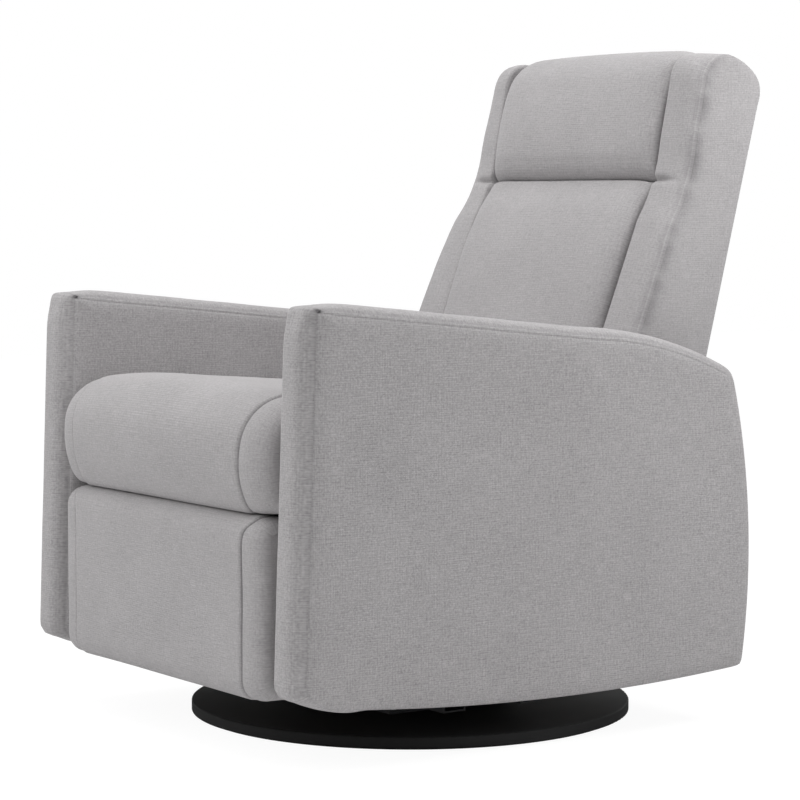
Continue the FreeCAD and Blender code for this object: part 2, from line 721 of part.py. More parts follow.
def board_outline(inset, lift):
    """The arm's outline drawn in by an inset, with its foot raised by a lift."""
    steps = [
        ((ARM_FRONT_FOOT[0] + inset, ARM_FRONT_FOOT[1] + lift),),
        ((ARM_BELLY[0], ARM_BELLY[1] + lift), (ARM_REAR_FOOT[0] - inset, ARM_REAR_FOOT[1] + lift)),
        ((ARM_REAR_BULGE[0] - inset, ARM_REAR_BULGE[1]), (ARM_REAR_TOP[0] - inset, ARM_REAR_TOP[1] - inset)),
        ((ARM_SHOULDER[0], ARM_SHOULDER[1] - inset), (ARM_TOP_END[0], ARM_TOP_END[1] - inset)),
    ]
    return (ARM_FRONT_TOP[0] + inset, ARM_FRONT_TOP[1] - inset), steps


def arm_board():
    board = plate((ARM_BOARD_INNER, ARM_BOARD_OUTER), *board_outline(ARM_BOARD_INSET, ARM_BOARD_LIFT))
    return board.cut(frame_bolt_holes())


def arm_cover():
    """The padded cover round the arm board, open underneath."""
    padding = soft_form((ARM_INNER, ARM_OUTER), (-1.0, 0.0, 1.0), arm_outline)
    xs = (ARM_BOARD_INNER - SOFT_GAP, ARM_BOARD_OUTER + SOFT_GAP)
    pocket = plate(xs, *board_outline(ARM_BOARD_INSET - SOFT_GAP, ARM_BOARD_LIFT - SOFT_GAP))
    mouth = pocket.translated(vector(0, 0, -ARM_BOARD_INSET))
    return padding.cut([pocket, mouth] + frame_bolt_holes())


# Backrest

def rear_y(z, depth=0.0):
    """The back's leaning rear face, or a parallel face some depth in front of it."""
    lean = math.radians(REAR_LEAN)
    return BACK_AXIS[0] + (REAR_REACH - depth + (z - BACK_AXIS[1]) * math.sin(lean)) / math.cos(lean)


def front_y(z):
    """The bolsters' front seam, which leans less above the headrest crease."""
    lean = math.radians(FRONT_LEAN)
    low = min(z, CREASE_Z)
    y = BACK_AXIS[0] + ((low - BACK_AXIS[1]) * math.sin(lean) - FRONT_REACH) / math.cos(lean)
    return y + (z - low) * math.tan(math.radians(HEAD_LEAN))


def leaning_bar(xs, depths, zs):
    """A straight bar parallel to the rear face between two depths and two heights."""
    near, far = depths
    low = [(rear_y(zs[0], depth), zs[0]) for depth in (far, near)]
    high = [(rear_y(zs[1], depth), zs[1]) for depth in (near, far)]
    return polygon(xs, low + high)


def frame_depth():
    return BACK_PANEL_THICK + SOFT_GAP


def upright(grow=0.0, foot=UPRIGHT_FOOT_Z):
    xs = (UPRIGHT_OUTER - UPRIGHT_THICK - grow, UPRIGHT_OUTER + grow)
    depths = (frame_depth() - grow, frame_depth() + UPRIGHT_DEPTH + grow)
    return leaning_bar(xs, depths, (foot, UPRIGHT_TOP_Z + grow))


def back_bracket_plate(grow=0.0):
    """A steel plate on the upright's outer face that reaches forward to the hinge."""
    xs = (UPRIGHT_OUTER, UPRIGHT_OUTER + BACK_BRACKET_THICK + grow)
    boss = BACK_BRACKET_RADIUS
    near = frame_depth()
    far = frame_depth() + UPRIGHT_DEPTH + grow
    top = BACK_BRACKET_TOP_Z + grow
    knee = BACK_AXIS[1] + 2 * boss
    points = [
        (BACK_AXIS[0] - boss, BACK_AXIS[1]),
        (BACK_AXIS[0], BACK_AXIS[1] - boss),
        (rear_y(BACK_AXIS[1] - boss / 2, near), BACK_AXIS[1] - boss / 2),
        (rear_y(top, near), top),
        (rear_y(top, far), top),
        (rear_y(knee, far), knee),
    ]
    return polygon(xs, points).fuse(rod_x(xs, BACK_AXIS, boss)).removeSplitter()


def back_bracket():
    xs = (UPRIGHT_OUTER, UPRIGHT_OUTER + BACK_BRACKET_THICK)
    return back_bracket_plate().cut(rod_x(xs, BACK_AXIS, BACK_PIN_RADIUS))


def back_hinge_pins():
    xs = (UPRIGHT_OUTER, SIDE_RAIL_INNER + FACE_GAP)
    return both_sides(headed_pin(xs, BACK_AXIS, BACK_PIN_RADIUS, BACK_PIN_HEAD_RADIUS, BACK_PIN_HEAD_THICK))


def back_rails():
    half = UPRIGHT_OUTER - UPRIGHT_THICK
    depths = (frame_depth(), frame_depth() + BACK_RAIL_DEPTH)
    rails = [leaning_bar((-half, half), depths, (z, z + BACK_RAIL_HEIGHT)) for z in BACK_RAIL_ZS]
    return Part.makeCompound(rails)


def back_panel():
    depths = (0.0, BACK_PANEL_THICK)
    return leaning_bar((-BACK_HALF, BACK_HALF), depths, (BACK_PANEL_FOOT_Z, BACK_TOP_REAR_Z))


def bolster_outline(share):
    """One side of the back, with a padded front edge that draws in at both seams."""
    draw = BOLSTER_CROWN * share ** BOLSTER_DRAW_POWER
    depth = frame_depth()
    top_front = (front_y(BACK_TOP_FRONT_Z) + draw, BACK_TOP_FRONT_Z)
    top = (front_y(BACK_TOP) + BACK_TOP - BACK_TOP_FRONT_Z, BACK_TOP - draw)
    shoulder = ((top[0] + rear_y(BACK_TOP)) / 2 + draw, BACK_TOP - draw - (BACK_TOP - BACK_TOP_REAR_Z) / 4)
    steps = [
        ((front_y(CREASE_Z) + draw, CREASE_Z),),
        (top_front,),
        ((front_y(BACK_TOP) + draw, (BACK_TOP + BACK_TOP_FRONT_Z) / 2 + draw), top),
        (shoulder, (rear_y(BACK_TOP_REAR_Z, depth), BACK_TOP_REAR_Z)),
        ((rear_y(BACK_FOOT_Z, depth), BACK_FOOT_Z),),
    ]
    return (front_y(BACK_FOOT_Z) + draw, BACK_FOOT_Z), steps


def side_bolster():
    xs = (CENTRE_HALF + SOFT_GAP, BACK_HALF)
    form = soft_form(xs, (-1.0, -0.6, 0.6, 1.0), bolster_outline)
    pockets = [upright(SOFT_GAP, 0.0), back_bracket_plate(SOFT_GAP)]
    for z in BACK_RAIL_ZS:
        zs = (z - SOFT_GAP, z + BACK_RAIL_HEIGHT + SOFT_GAP)
        pockets.append(leaning_bar((0.0, UPRIGHT_OUTER), (0.0, cushion_depth()), zs))
    return form.cut(pockets)


def cushion_depth():
    return frame_depth() + BACK_RAIL_DEPTH + SOFT_GAP


def lumbar_outline(share):
    draw = CUSHION_DRAW_IN * abs(share) ** DRAW_POWER
    crown = LUMBAR_CROWN * (2 - share * share) / 2
    foot = BACK_FOOT_Z
    top = CREASE_Z
    middle = (foot + top) / 2
    steps = [
        ((front_y(middle) - crown + draw, middle), (front_y(top) + draw, top),),
        ((rear_y(top, cushion_depth()), top),),
        ((rear_y(foot, cushion_depth()), foot),),
    ]
    return (front_y(foot) + draw, foot), steps


def lumbar_cushion():
    return soft_form((-CENTRE_HALF, CENTRE_HALF), SOFT_STATIONS, lumbar_outline)


def pillow_outline(share):
    """The headrest pillow, which rolls over the top of the back behind its crown."""
    draw = CUSHION_DRAW_IN * abs(share) ** DRAW_POWER
    crown = PILLOW_CROWN * (2 - share * share) / 2
    foot = CREASE_Z + SOFT_GAP
    over = BACK_RAIL_ZS[-1] + BACK_RAIL_HEIGHT + SOFT_GAP
    middle = (foot + BACK_TOP_FRONT_Z) / 2
    top = PILLOW_TOP - draw
    crest = (front_y(BACK_TOP_FRONT_Z) + rear_y(BACK_TOP_FRONT_Z)) / 2
    steps = [
        ((front_y(middle) - crown + draw, middle), (front_y(BACK_TOP_FRONT_Z) + draw, BACK_TOP_FRONT_Z)),
        ((crest - draw, top), (rear_y(BACK_TOP_REAR_Z, frame_depth()), BACK_TOP_REAR_Z)),
        ((rear_y(over, frame_depth()), over),),
        ((rear_y(over, cushion_depth()), over),),
        ((rear_y(foot, cushion_depth()), foot),),
    ]
    return (front_y(foot) + draw, foot), steps


def headrest_pillow():
    return soft_form((-CENTRE_HALF, CENTRE_HALF), SOFT_STATIONS, pillow_outline)


# Rear panel

def strike_height(y):
    """The height at which the fully reclined back's rear face passes over a place."""
    lean = math.radians(REAR_LEAN + RECLINE_LIMIT)
    reach = REAR_REACH + STRIKE_GAP
    return BACK_AXIS[1] + ((y - BACK_AXIS[0]) * math.cos(lean) - reach) / math.sin(lean)


def rear_board():
    return block(
        (-ARM_INNER, ARM_INNER),
        (REAR_BOARD_FRONT, REAR_BOARD_FRONT + REAR_BOARD_THICK),
        (REAR_BOARD_FOOT, strike_height(REAR_BOARD_FRONT)),
    )


def rear_pad_outline(share):
    crown = REAR_PAD_CROWN * (2 - share * share) / 2
    rear = REAR_PAD_FRONT + REAR_PAD_THICK
    top = strike_height(REAR_PAD_FRONT)
    middle = (REAR_PAD_FOOT + top) / 2
    steps = [
        ((rear, REAR_PAD_FOOT),),
        ((rear + crown, middle), (rear, top)),
        ((REAR_PAD_FRONT, top),),
    ]
    return (REAR_PAD_FRONT, REAR_PAD_FOOT), steps


def rear_pad():
    half = ARM_INNER - SOFT_GAP
    return soft_form((-half, half), (-1.0, -0.5, 0.0, 0.5, 1.0), rear_pad_outline)


# Footrest

def swing(origin, length, angle):
    """A point some length forward of a pivot at an angle above level."""
    turn = math.radians(angle)
    return (origin[0] - length * math.cos(turn), origin[1] + length * math.sin(turn))


def linkage(opening):
    """The linkage's pivots when the drive tube has turned by an opening angle."""
    axis = drive_axis()
    rest_elbow = swing(axis, DRIVE_REACH, DRIVE_START)
    rest_knee = (PAD_BACK + FOOT_BOARD_THICK + KNEE_SETBACK, KNEE_Z)
    cross_reach = math.dist(rest_elbow, rest_knee)
    cross_start = math.degrees(math.atan2(rest_knee[1] - rest_elbow[1], rest_elbow[0] - rest_knee[0]))
    drive_angle = DRIVE_START + opening
    cross_angle = cross_start + CROSS_SWING * opening / FOOTREST_LIMIT
    elbow = swing(axis, DRIVE_REACH, drive_angle)
    foot = swing(axis, DRIVE_REACH + LINK_SPAN, drive_angle)
    return {
        "elbow": elbow,
        "foot": foot,
        "knee": swing(elbow, cross_reach, cross_angle),
        "ankle": swing(foot, cross_reach, cross_angle),
        "guide": swing(elbow, -LINK_TAIL, cross_angle),
    }


def link_hole(place, radius):
    return rod_x((0.0, ARM_INNER), place, radius)


def drive_tube():
    """The tube that turns the linkage, out through the right arm to the lever."""
    left_end = SIDE_RAIL_INNER + BUSH_WALL
    right_end = ARM_OUTER + LEVER_STANDOFF + LEVER_HUB_LENGTH
    return rod_x((-right_end, left_end), drive_axis(), TUBE_RADIUS)


def drive_bushes():
    """Bushes for the drive tube in both side plates and in the right arm."""
    spans = [
        (SIDE_PLATE_INNER, SIDE_RAIL_INNER + BUSH_WALL),
        (-SIDE_RAIL_INNER - BUSH_WALL, -SIDE_PLATE_INNER),
        (-ARM_BOARD_OUTER, -ARM_BOARD_INNER),
    ]
    bore = TUBE_RADIUS + RUN_GAP
    bushes = [rod_x(xs, drive_axis(), bore + BUSH_WALL).cut(rod_x(xs, drive_axis(), bore)) for xs in spans]
    return Part.makeCompound(bushes)


def drive_link():
    rest = linkage(0.0)
    hub = rod_x(DRIVE_LAYER, drive_axis(), TUBE_RADIUS + LINK_THICK)
    body = bar(DRIVE_LAYER, drive_axis(), rest["foot"], LINK_WIDTH).fuse(hub).removeSplitter()
    pins = [link_hole(rest[name], LINK_PIN_RADIUS) for name in ("elbow", "foot")]
    return body.cut(pins + [link_hole(drive_axis(), TUBE_RADIUS)])


def link_pin(place, layers):
    xs = (layers[0][0], layers[1][1])
    return headed_pin(xs, place, LINK_PIN_RADIUS, LINK_PIN_HEAD_RADIUS, LINK_PIN_HEAD_THICK)


def drive_link_pins():
    rest = linkage(0.0)
    return both_sides(*[link_pin(rest[name], (CROSS_LAYER, DRIVE_LAYER)) for name in ("elbow", "foot")])


def cross_links():
    rest = linkage(0.0)
    body = bar(CROSS_LAYER, rest["guide"], rest["knee"], LINK_WIDTH)
    running = [link_hole(rest[name], LINK_PIN_RADIUS + RUN_GAP) for name in ("elbow", "knee")]
    return both_sides(body.cut(running + [link_hole(rest["guide"], GUIDE_PIN_RADIUS)]))


def guide_pins():
    """Pins on the cross links' tails that run in the side plates' slots."""
    place = linkage(0.0)["guide"]
    shank = rod_x((CROSS_LAYER[0] - LINK_PIN_HEAD_THICK, SIDE_RAIL_INNER - FACE_GAP), place, GUIDE_PIN_RADIUS)
    head = rod_x((CROSS_LAYER[0] - LINK_PIN_HEAD_THICK, CROSS_LAYER[0]), place, LINK_PIN_HEAD_RADIUS)
    return both_sides(shank.fuse(head).removeSplitter())


def outer_links():
    rest = linkage(0.0)
    body = bar(CROSS_LAYER, rest["foot"], rest["ankle"], LINK_WIDTH)
    running = [link_hole(rest[name], LINK_PIN_RADIUS + RUN_GAP) for name in ("foot", "ankle")]
    return both_sides(body.cut(running))


def foot_bracket():
    """A bent steel plate that carries the footrest board on the knee and ankle pins."""
    rest = linkage(0.0)
    board_back = PAD_BACK + FOOT_BOARD_THICK
    zs = (rest["ankle"][1] - FOOT_BRACKET_DROP, rest["knee"][1] + LINK_WIDTH / 2)
    web = block(BRACKET_LAYER, (board_back, rest["ankle"][0]), zs)
    flange_xs = (BRACKET_LAYER[0] - FOOT_BRACKET_FLANGE, BRACKET_LAYER[1])
    flange = block(flange_xs, (board_back, board_back + FOOT_BRACKET_STEEL), zs)
    arm = bar(BRACKET_LAYER, rest["knee"], rest["ankle"], LINK_WIDTH)
    body = web.fuse([flange, arm]).removeSplitter()
    return body.cut([link_hole(rest[name], LINK_PIN_RADIUS) for name in ("knee", "ankle")])


def footrest_pins():
    rest = linkage(0.0)
    return both_sides(*[link_pin(rest[name], (BRACKET_LAYER, CROSS_LAYER)) for name in ("knee", "ankle")])


def footrest_board():
    half = PAD_HALF - FOOT_BOARD_MARGIN
    zs = (PAD_BOTTOM + FOOT_BOARD_MARGIN, PAD_TOP - FOOT_BOARD_MARGIN)
    return block((-half, half), (PAD_BACK, PAD_BACK + FOOT_BOARD_THICK), zs)


def pad_outline(share):
    """A panel with a crowned front, rolled edges and sides that draw in."""
    draw = PAD_DRAW_IN * abs(share) ** DRAW_POWER
    back = PAD_BACK - SOFT_GAP
    front = PAD_FRONT + PAD_CROWN + draw
    foot = PAD_BOTTOM + draw / 2
    top = PAD_TOP - draw / 2
    corner = PAD_EDGE * (1 - math.sqrt(0.5))
    steps = [
        ((front + PAD_EDGE, foot),),
        ((front + corner, foot + corner), (front, foot + PAD_EDGE)),
        ((front - PAD_CROWN, (foot + top) / 2), (front, top - PAD_EDGE)),
        ((front + corner, top - corner), (front + PAD_EDGE, top)),
        ((back, top),),
    ]
    return (back, foot), steps


def footrest_pad():
    return soft_form((-PAD_HALF, PAD_HALF), SOFT_STATIONS, pad_outline)


# Lever

def recline_lever():
    """A flat lever on the end of the drive tube, outside the right arm."""
    hub_xs = (ARM_OUTER + LEVER_STANDOFF, ARM_OUTER + LEVER_STANDOFF + LEVER_HUB_LENGTH)
    blade_xs = (hub_xs[1] - LEVER_THICK, hub_xs[1])
    tip = swing(drive_axis(), LEVER_LENGTH, LEVER_ANGLE)
    blade = bar(blade_xs, drive_axis(), tip, LEVER_WIDTH)
    body = rod_x(hub_xs, drive_axis(), LEVER_HUB_RADIUS).fuse(blade).removeSplitter()
    return mirrored(body.cut(rod_x(hub_xs, drive_axis(), TUBE_RADIUS)))


def lever_grip():
    """A rounded grip that sleeves the lever's outer end."""
    blade_outer = ARM_OUTER + LEVER_STANDOFF + LEVER_HUB_LENGTH
    middle = blade_outer - LEVER_THICK / 2
    xs = (middle - GRIP_THICK / 2, middle + GRIP_THICK / 2)
    heel = swing(drive_axis(), GRIP_START, LEVER_ANGLE)
    tip = swing(drive_axis(), LEVER_LENGTH, LEVER_ANGLE)
    form = bar(xs, heel, tip, GRIP_WIDTH)
    form = form.makeFillet(GRIP_ROUND, [e for e in form.Edges if abs(e.BoundBox.XLength) < 1e-6])
    blade = bar((blade_outer - LEVER_THICK, blade_outer), drive_axis(), tip, LEVER_WIDTH)
    return mirrored(form.cut(blade))


def sided(name, shape, right_shape=None):
    """A left and a right node, both modelled on the sitter's left."""
    return {name + "_left": shape, name + "_right": mirrored(right_shape or shape)}


def make_nodes():
    nodes = {
        "base_floor_pad": floor_pad(),
        "base_disc": base_disc(),
        "swivel_lower_plate": lower_plate(),
        "swivel_kingpin": kingpin(),
        "bearing_balls": bearing_balls(),
        "swivel_plate_screws": plate_screws(),
        "swivel_upper_plate": upper_plate(),
        "swivel_beams": swivel_beams(),
        "beam_bolts": beam_bolts(),
        "rocker_bushes": rocker_bushes(),
        "rock_buffers": rock_buffers(),
        "rocker_pins": rocker_pins(),
        "rocker_springs": rocker_springs(),
        "cross_rails": cross_rails(),
        "seat_rail_front": seat_rail(SEAT_RAIL_FRONT),
        "seat_rail_rear": seat_rail(SEAT_RAIL_REAR - SEAT_RAIL_WIDTH),
        "seat_webbing": seat_webbing(),
        "seat_cushion": seat_cushion(),
        "frame_bolts": frame_bolts(),
        "rear_board": rear_board(),
        "rear_pad": rear_pad(),
        "drive_bushes": drive_bushes(),
        "back_hinge_pins": back_hinge_pins(),
        "back_rails": back_rails(),
        "back_panel": back_panel(),
        "lumbar_cushion": lumbar_cushion(),
        "headrest_pillow": headrest_pillow(),
        "drive_tube": drive_tube(),
        "drive_link_pins": drive_link_pins(),
        "recline_lever": recline_lever(),
        "lever_grip": lever_grip(),
        "cross_links": cross_links(),
        "guide_pins": guide_pins(),
        "outer_links": outer_links(),
        "footrest_pins": footrest_pins(),
        "footrest_board": footrest_board(),
        "footrest_pad": footrest_pad(),
    }
    nodes.update(sided("rocker_bracket", rocker_bracket()))
    nodes.update(sided("rocker_arm", rocker_arm()))
    nodes.update(sided("side_rail", side_rail()))
    nodes.update(sided("side_plate", side_plate()))
    nodes.update(sided("arm_board", arm_board(), arm_board().cut(tube_way(ARM_OUTER))))
    nodes.update(sided("arm_cover", arm_cover(), arm_cover().cut(tube_way(ARM_OUTER))))
    nodes.update(sided("back_upright", upright()))
    nodes.update(sided("back_bracket", back_bracket()))
    nodes.update(sided("side_bolster", side_bolster()))
    nodes.update(sided("drive_link", drive_link()))
    nodes.update(sided("footrest_bracket", foot_bracket()))
    return nodes


def main():
    os.makedirs("parts", exist_ok=True)
    for name, shape in make_nodes().items():
        shape.exportStep(os.path.join("parts", name + ".step"))


if __name__ == "__main__":
    main()
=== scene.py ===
# The looks of a swivel rocker recliner: woven upholstery, black base and the mechanism's finishes.
# Sizes are in metres, and outline points are (y, z) in millimetres. +Z is up, the sitter faces -Y
# and +X is the sitter's left.

import json
import math

import bpy
import numpy as np
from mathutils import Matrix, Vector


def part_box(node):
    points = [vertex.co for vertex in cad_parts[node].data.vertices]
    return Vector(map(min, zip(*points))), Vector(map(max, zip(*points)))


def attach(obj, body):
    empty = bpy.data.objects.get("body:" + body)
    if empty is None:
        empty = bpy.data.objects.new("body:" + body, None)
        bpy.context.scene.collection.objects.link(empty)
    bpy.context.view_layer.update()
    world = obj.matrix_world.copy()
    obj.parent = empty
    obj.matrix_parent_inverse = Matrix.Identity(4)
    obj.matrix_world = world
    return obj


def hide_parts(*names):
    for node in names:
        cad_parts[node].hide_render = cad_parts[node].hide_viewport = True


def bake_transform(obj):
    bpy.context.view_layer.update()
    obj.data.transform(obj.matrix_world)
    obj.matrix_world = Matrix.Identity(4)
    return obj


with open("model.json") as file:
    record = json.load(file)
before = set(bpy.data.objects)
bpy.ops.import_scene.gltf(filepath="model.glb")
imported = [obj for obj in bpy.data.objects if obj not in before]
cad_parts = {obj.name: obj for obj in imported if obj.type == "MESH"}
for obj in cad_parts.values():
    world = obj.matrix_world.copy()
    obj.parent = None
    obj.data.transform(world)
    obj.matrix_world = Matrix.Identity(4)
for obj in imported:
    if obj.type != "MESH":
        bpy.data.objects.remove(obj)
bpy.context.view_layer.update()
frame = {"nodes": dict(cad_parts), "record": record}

MM = 0.001

# Camera
CAMERA_PLACE = (3.46284, -2.38821, 0.77360)
CAMERA_TURN = (85.924, 0.0, 55.618)
CAMERA_LENS = 124.70
SENSOR = 36.0
CAMERA_REACH = 60.0

# Lights, each with its name, place, target, size and power
LIGHTS = (
    ("front", (-1.5, -3.1, 2.7), (0.0, 0.0, 0.6), 3.0, 41.0),
    ("top", (0.0, -0.6, 3.4), (0.0, 0.1, 0.6), 3.0, 54.0),
    ("side", (1.1, 0.75, 1.35), (0.27, 0.36, 0.85), 0.5, 7.5),
)
WORLD_LIGHT = 0.45
FLOOR_HALF = 9.0
FLOOR_SHADE = 0.86
FLOOR_GLOW = 1.14
FLOOR_GLOW_SHARE = 0.82

# Arm, in (y, z) millimetres along the seam between its side panel and its boxing strip
ARM_TOE = (-332.0, 88.0)
ARM_BELLY = (0.0, 72.0)
ARM_REAR_FOOT = (341.0, 86.0)
ARM_REAR_BULGE = (353.5, 300.0)
ARM_REAR_TOP = (320.0, 521.0)
ARM_SHOULDER = (205.0, 564.0)
ARM_TOP_END = (60.0, 586.0)
ARM_FRONT_TOP = (-409.0, 634.0)
ARM_HEEL = (-427.5, 117.0)
ARM_TOE_BEND = (-401.0, 98.5)
ARM_MIDDLE = (-30.0, 330.0)
ARM_CORNER = 7 * MM
ARM_STRIP_HALF = 31 * MM
ARM_TOP_CROWN = 10 * MM
ARM_FRONT_CROWN = 22 * MM
ARM_REAR_CROWN = 5 * MM
ARM_CROWN_POWER = 3.8
ARM_CORNER_SLACK = 9 * MM
ARM_PANEL_RISE = 7 * MM
ARM_PANEL_ROLL = 28 * MM
ARM_WELT = 6 * MM
ARM_WELT_DEPTH = 1.1 * MM
ARM_WELT_WIDTH = 1.4 * MM
ARM_WELT_FADE = (0.6, 0.9)
ARM_SLACK_WIDTH = 28 * MM
ARM_MITRE_DEPTH = 1.3 * MM
ARM_MITRE_WIDTH = 2.2 * MM
ARM_VALLEY = 1.0 * MM
ARM_VALLEY_WIDTH = 2 * MM
ARM_PINCH_DEPTH = 3 * MM
ARM_PINCH_WIDTH = 5 * MM
ARM_UNEVEN = 0.5 * MM
ARM_UNEVEN_LENGTH = 170 * MM
ARM_WAVE_LENGTH = 260 * MM
ARM_WAVE_INSET = 60 * MM
ARM_WAVE_WIDTH = 35 * MM

# Seat cushion
SEAT_REAR_FOOT = (92.0, 333.0)
SEAT_REAR_TOP = (150.0, 466.0)
SEAT_CROWN_POINT = (-110.0, 487.0)
SEAT_ROLL = (-380.0, 508.0)
SEAT_BROW = (-433.0, 480.0)
SEAT_NOSE = (-448.0, 436.0)
SEAT_CHIN = (-444.0, 388.0)
SEAT_LIP = (-427.0, 350.0)
SEAT_LIP_REAR = (-352.0, 351.0)
SEAT_RAIL_FRONT = (-335.0, 333.0)
SEAT_SPINE = [(-372.0, 425.0), (60.0, 410.0)]
SEAT_CORNER = 9 * MM
SEAT_SEAM_TOP = 252 * MM
SEAT_SEAM_FOOT = 238 * MM
SEAT_CROWN = 12 * MM
SEAT_PANEL_STEP = 3 * MM
SEAT_GUSSET_LIFT = 2 * MM
SEAT_PANEL_ROLL = 12 * MM
SEAT_GUSSET_DROP = 30 * MM
SEAT_END_GAP = 2 * MM
SEAT_CROWN_POWER = 2.4
SEAT_GUSSET_ROLL = 1.05
SEAT_SEAM_FADE = 45 * MM
SEAT_BEND_FADE = (-160 * MM, 40 * MM)
SEAT_CROWN_FADE = 30 * MM
SEAT_REAR_FADE = (-60 * MM, 60 * MM)
SEAT_LIP_FADE = (-5 * MM, 25 * MM)
SEAT_VALLEY_WIDTH = 2.2 * MM
SEAT_UNEVEN = 0.9 * MM
SEAT_UNEVEN_LENGTH = 210 * MM
SEAT_UNEVEN_SKEW = 0.3
SEAT_END_RISE = 2 * MM
SEAT_END_ROLL = 20 * MM
SEAM_VALLEY = 2 * MM

# Footrest panel
PAD_FRONT = -444.0
PAD_BACK = -370.5
PAD_FOOT = 94.0
PAD_TOP = 344.0
PAD_EDGE = 26.0
PAD_CORNER = 4 * MM
PAD_SEAM = 240 * MM
PAD_SEAM_SPREAD = 20 * MM
PAD_SEAM_ARCH = 36 * MM
PAD_CROWN = 3 * MM
PAD_PANEL_STEP = 2 * MM
PAD_STRIP_LIFT = 2 * MM
PAD_PANEL_ROLL = 7 * MM
PAD_END_ROLL = 28 * MM
PAD_END_DROP = 21 * MM
PAD_SPINE = [(-405.0, 130.0), (-405.0, 308.0)]
PAD_END_GAP = 14 * MM
PAD_CROWN_POWER = 3
PAD_ARCH_SHARE = 0.98
PAD_SEAM_FADE = 30 * MM
PAD_FOOT_FADE = (-55 * MM, -5 * MM)
PAD_TOP_FADE = (15 * MM, 60 * MM)
PAD_VALLEY_WIDTH = 2 * MM
PAD_UNEVEN = 0.7 * MM
PAD_UNEVEN_LENGTH = 190 * MM
PAD_UNEVEN_SKEW = -0.4

# Backrest, in (y, z) millimetres
BACK_FOOT = (144.0, 377.0)
BACK_KINK_FOOT = (289.0, 740.0)
BACK_KINK = (321.0, 805.0)
BACK_KINK_TOP = (334.0, 863.0)
BACK_BROW = (352.0, 950.0)
BACK_BROW_BEND = (364.0, 981.0)
BACK_TOP_FRONT = (393.0, 998.0)
BACK_TOP_BEND = (428.0, 985.5)
BACK_TOP_REAR = (450.0, 969.0)
BACK_REAR_BEND = (460.0, 951.0)
BACK_REAR_TOP = (457.0, 925.0)
BACK_REAR_FOOT = (315.0, 377.0)
BACK_SPINE = [(252.0, 455.0), (400.0, 925.0)]
BACK_CORNER = 4 * MM
BOLSTER_SLOPE = 12 * MM
BOLSTER_TOP_SHARE = -0.1
BOLSTER_CROWN = 4 * MM
BOLSTER_INNER_DROP = 4 * MM
BOLSTER_INNER_ROLL = 6 * MM
BOLSTER_OUTER_RISE = 8 * MM
BOLSTER_OUTER_ROLL = 22 * MM
BOLSTER_PANEL_RISE = 4 * MM
BOLSTER_PANEL_ROLL = 20 * MM
BOLSTER_FOOT_FADE = (0.0, 20 * MM)
BOLSTER_BROW_FADE = (-10 * MM, 45 * MM)
BOLSTER_TOP_FADE = (-10 * MM, 30 * MM)
PUCKER_DEPTH = 1.0 * MM
PUCKER_WIDTH = 11 * MM
PUCKER_INSET = 3 * MM
PUCKER_SIDE_SHARE = 0.7
PUCKER_LONG = 120 * MM
PUCKER_LONG_SHARE = 0.75
PUCKER_SHORT = 47 * MM
PUCKER_SHORT_SHARE = 0.6
PUCKER_LEVEL = 0.6
PUCKER_RANGE = 0.55
TUCK_DEPTH = 8 * MM
TUCK_WIDTH = 5 * MM
TUCK_FADE = (0.9, 0.2)
CREASE_Z = 803.0
FLARE_HEIGHTS = (376.0, 600.0, 720.0, 760.0, 800.0, 850.0, 900.0, 985.0)
FLARE_WIDTHS = (22.0, 19.5, 13.5, 5.0, 1.0, 1.0, -2.0, -7.0)
FLARE_FORWARD = 0.68
FLARE_BLUR = 45 * MM
FLARE_SAMPLES = 11
FLARE_FADE = (10 * MM, 120 * MM)

LUMBAR_FOOT = (126.0, 377.0)
LUMBAR_KINK_FOOT = (240.0, 680.0)
LUMBAR_KINK = (271.0, 748.0)
LUMBAR_TOP = (306.0, 804.0)
LUMBAR_TOP_REAR = (372.0, 803.0)
LUMBAR_REAR_FOOT = (264.0, 377.0)
LUMBAR_SPINE = [(205.0, 430.0), (312.0, 760.0)]
LUMBAR_CORNER = 3 * MM
LUMBAR_CROWN = 8 * MM
CUSHION_ROLL = 42 * MM
CUSHION_RISE = 21 * MM
CUSHION_EDGE = -6 * MM
CUSHION_CROWN_POWER = 2.6
CUSHION_END_GAP = 1 * MM
CUSHION_UNEVEN = 0.8 * MM
LUMBAR_UNEVEN_LENGTH = 230 * MM
LUMBAR_TOP_FADE = 0.3
LUMBAR_FADE_LENGTH = 60 * MM
LUMBAR_FOOT_FADE = (0.0, 25 * MM)
LUMBAR_EDGE_FADE = (-4 * MM, 5 * MM)
LUMBAR_UNEVEN_SKEW = 0.5

PILLOW_FOOT = (320.0, 802.0)
PILLOW_CHIN_BEND = (312.0, 811.0)
PILLOW_CHIN = (310.0, 838.0)
PILLOW_CHEEK = (320.0, 902.0)
PILLOW_BROW = (341.0, 966.0)
PILLOW_CREST = (379.0, 997.0)
PILLOW_TOP_REAR = (432.0, 981.0)
PILLOW_REAR_BEND = (453.0, 962.0)
PILLOW_REAR = (450.0, 936.0)
PILLOW_REAR_FOOT = (437.0, 901.0)
PILLOW_SHELF = (401.0, 901.0)
PILLOW_BACK_FOOT = (377.0, 801.0)
PILLOW_SPINE = [(362.0, 840.0), (392.0, 940.0)]
PILLOW_CORNER = 6 * MM
PILLOW_CROWN = 8 * MM
PILLOW_TOP_SHARE = 0.45
PILLOW_TOP_GROOVE = 6 * MM
PILLOW_TOP_ROLL = 34 * MM
PILLOW_UNEVEN_LENGTH = 180 * MM
PILLOW_UNEVEN_SKEW = -0.4
PILLOW_CHIN_FADE = (-0.2, 1.2)
PILLOW_REAR_FADE = (-10 * MM, 20 * MM)
PILLOW_OVER_TOP = (0.15, 0.7)

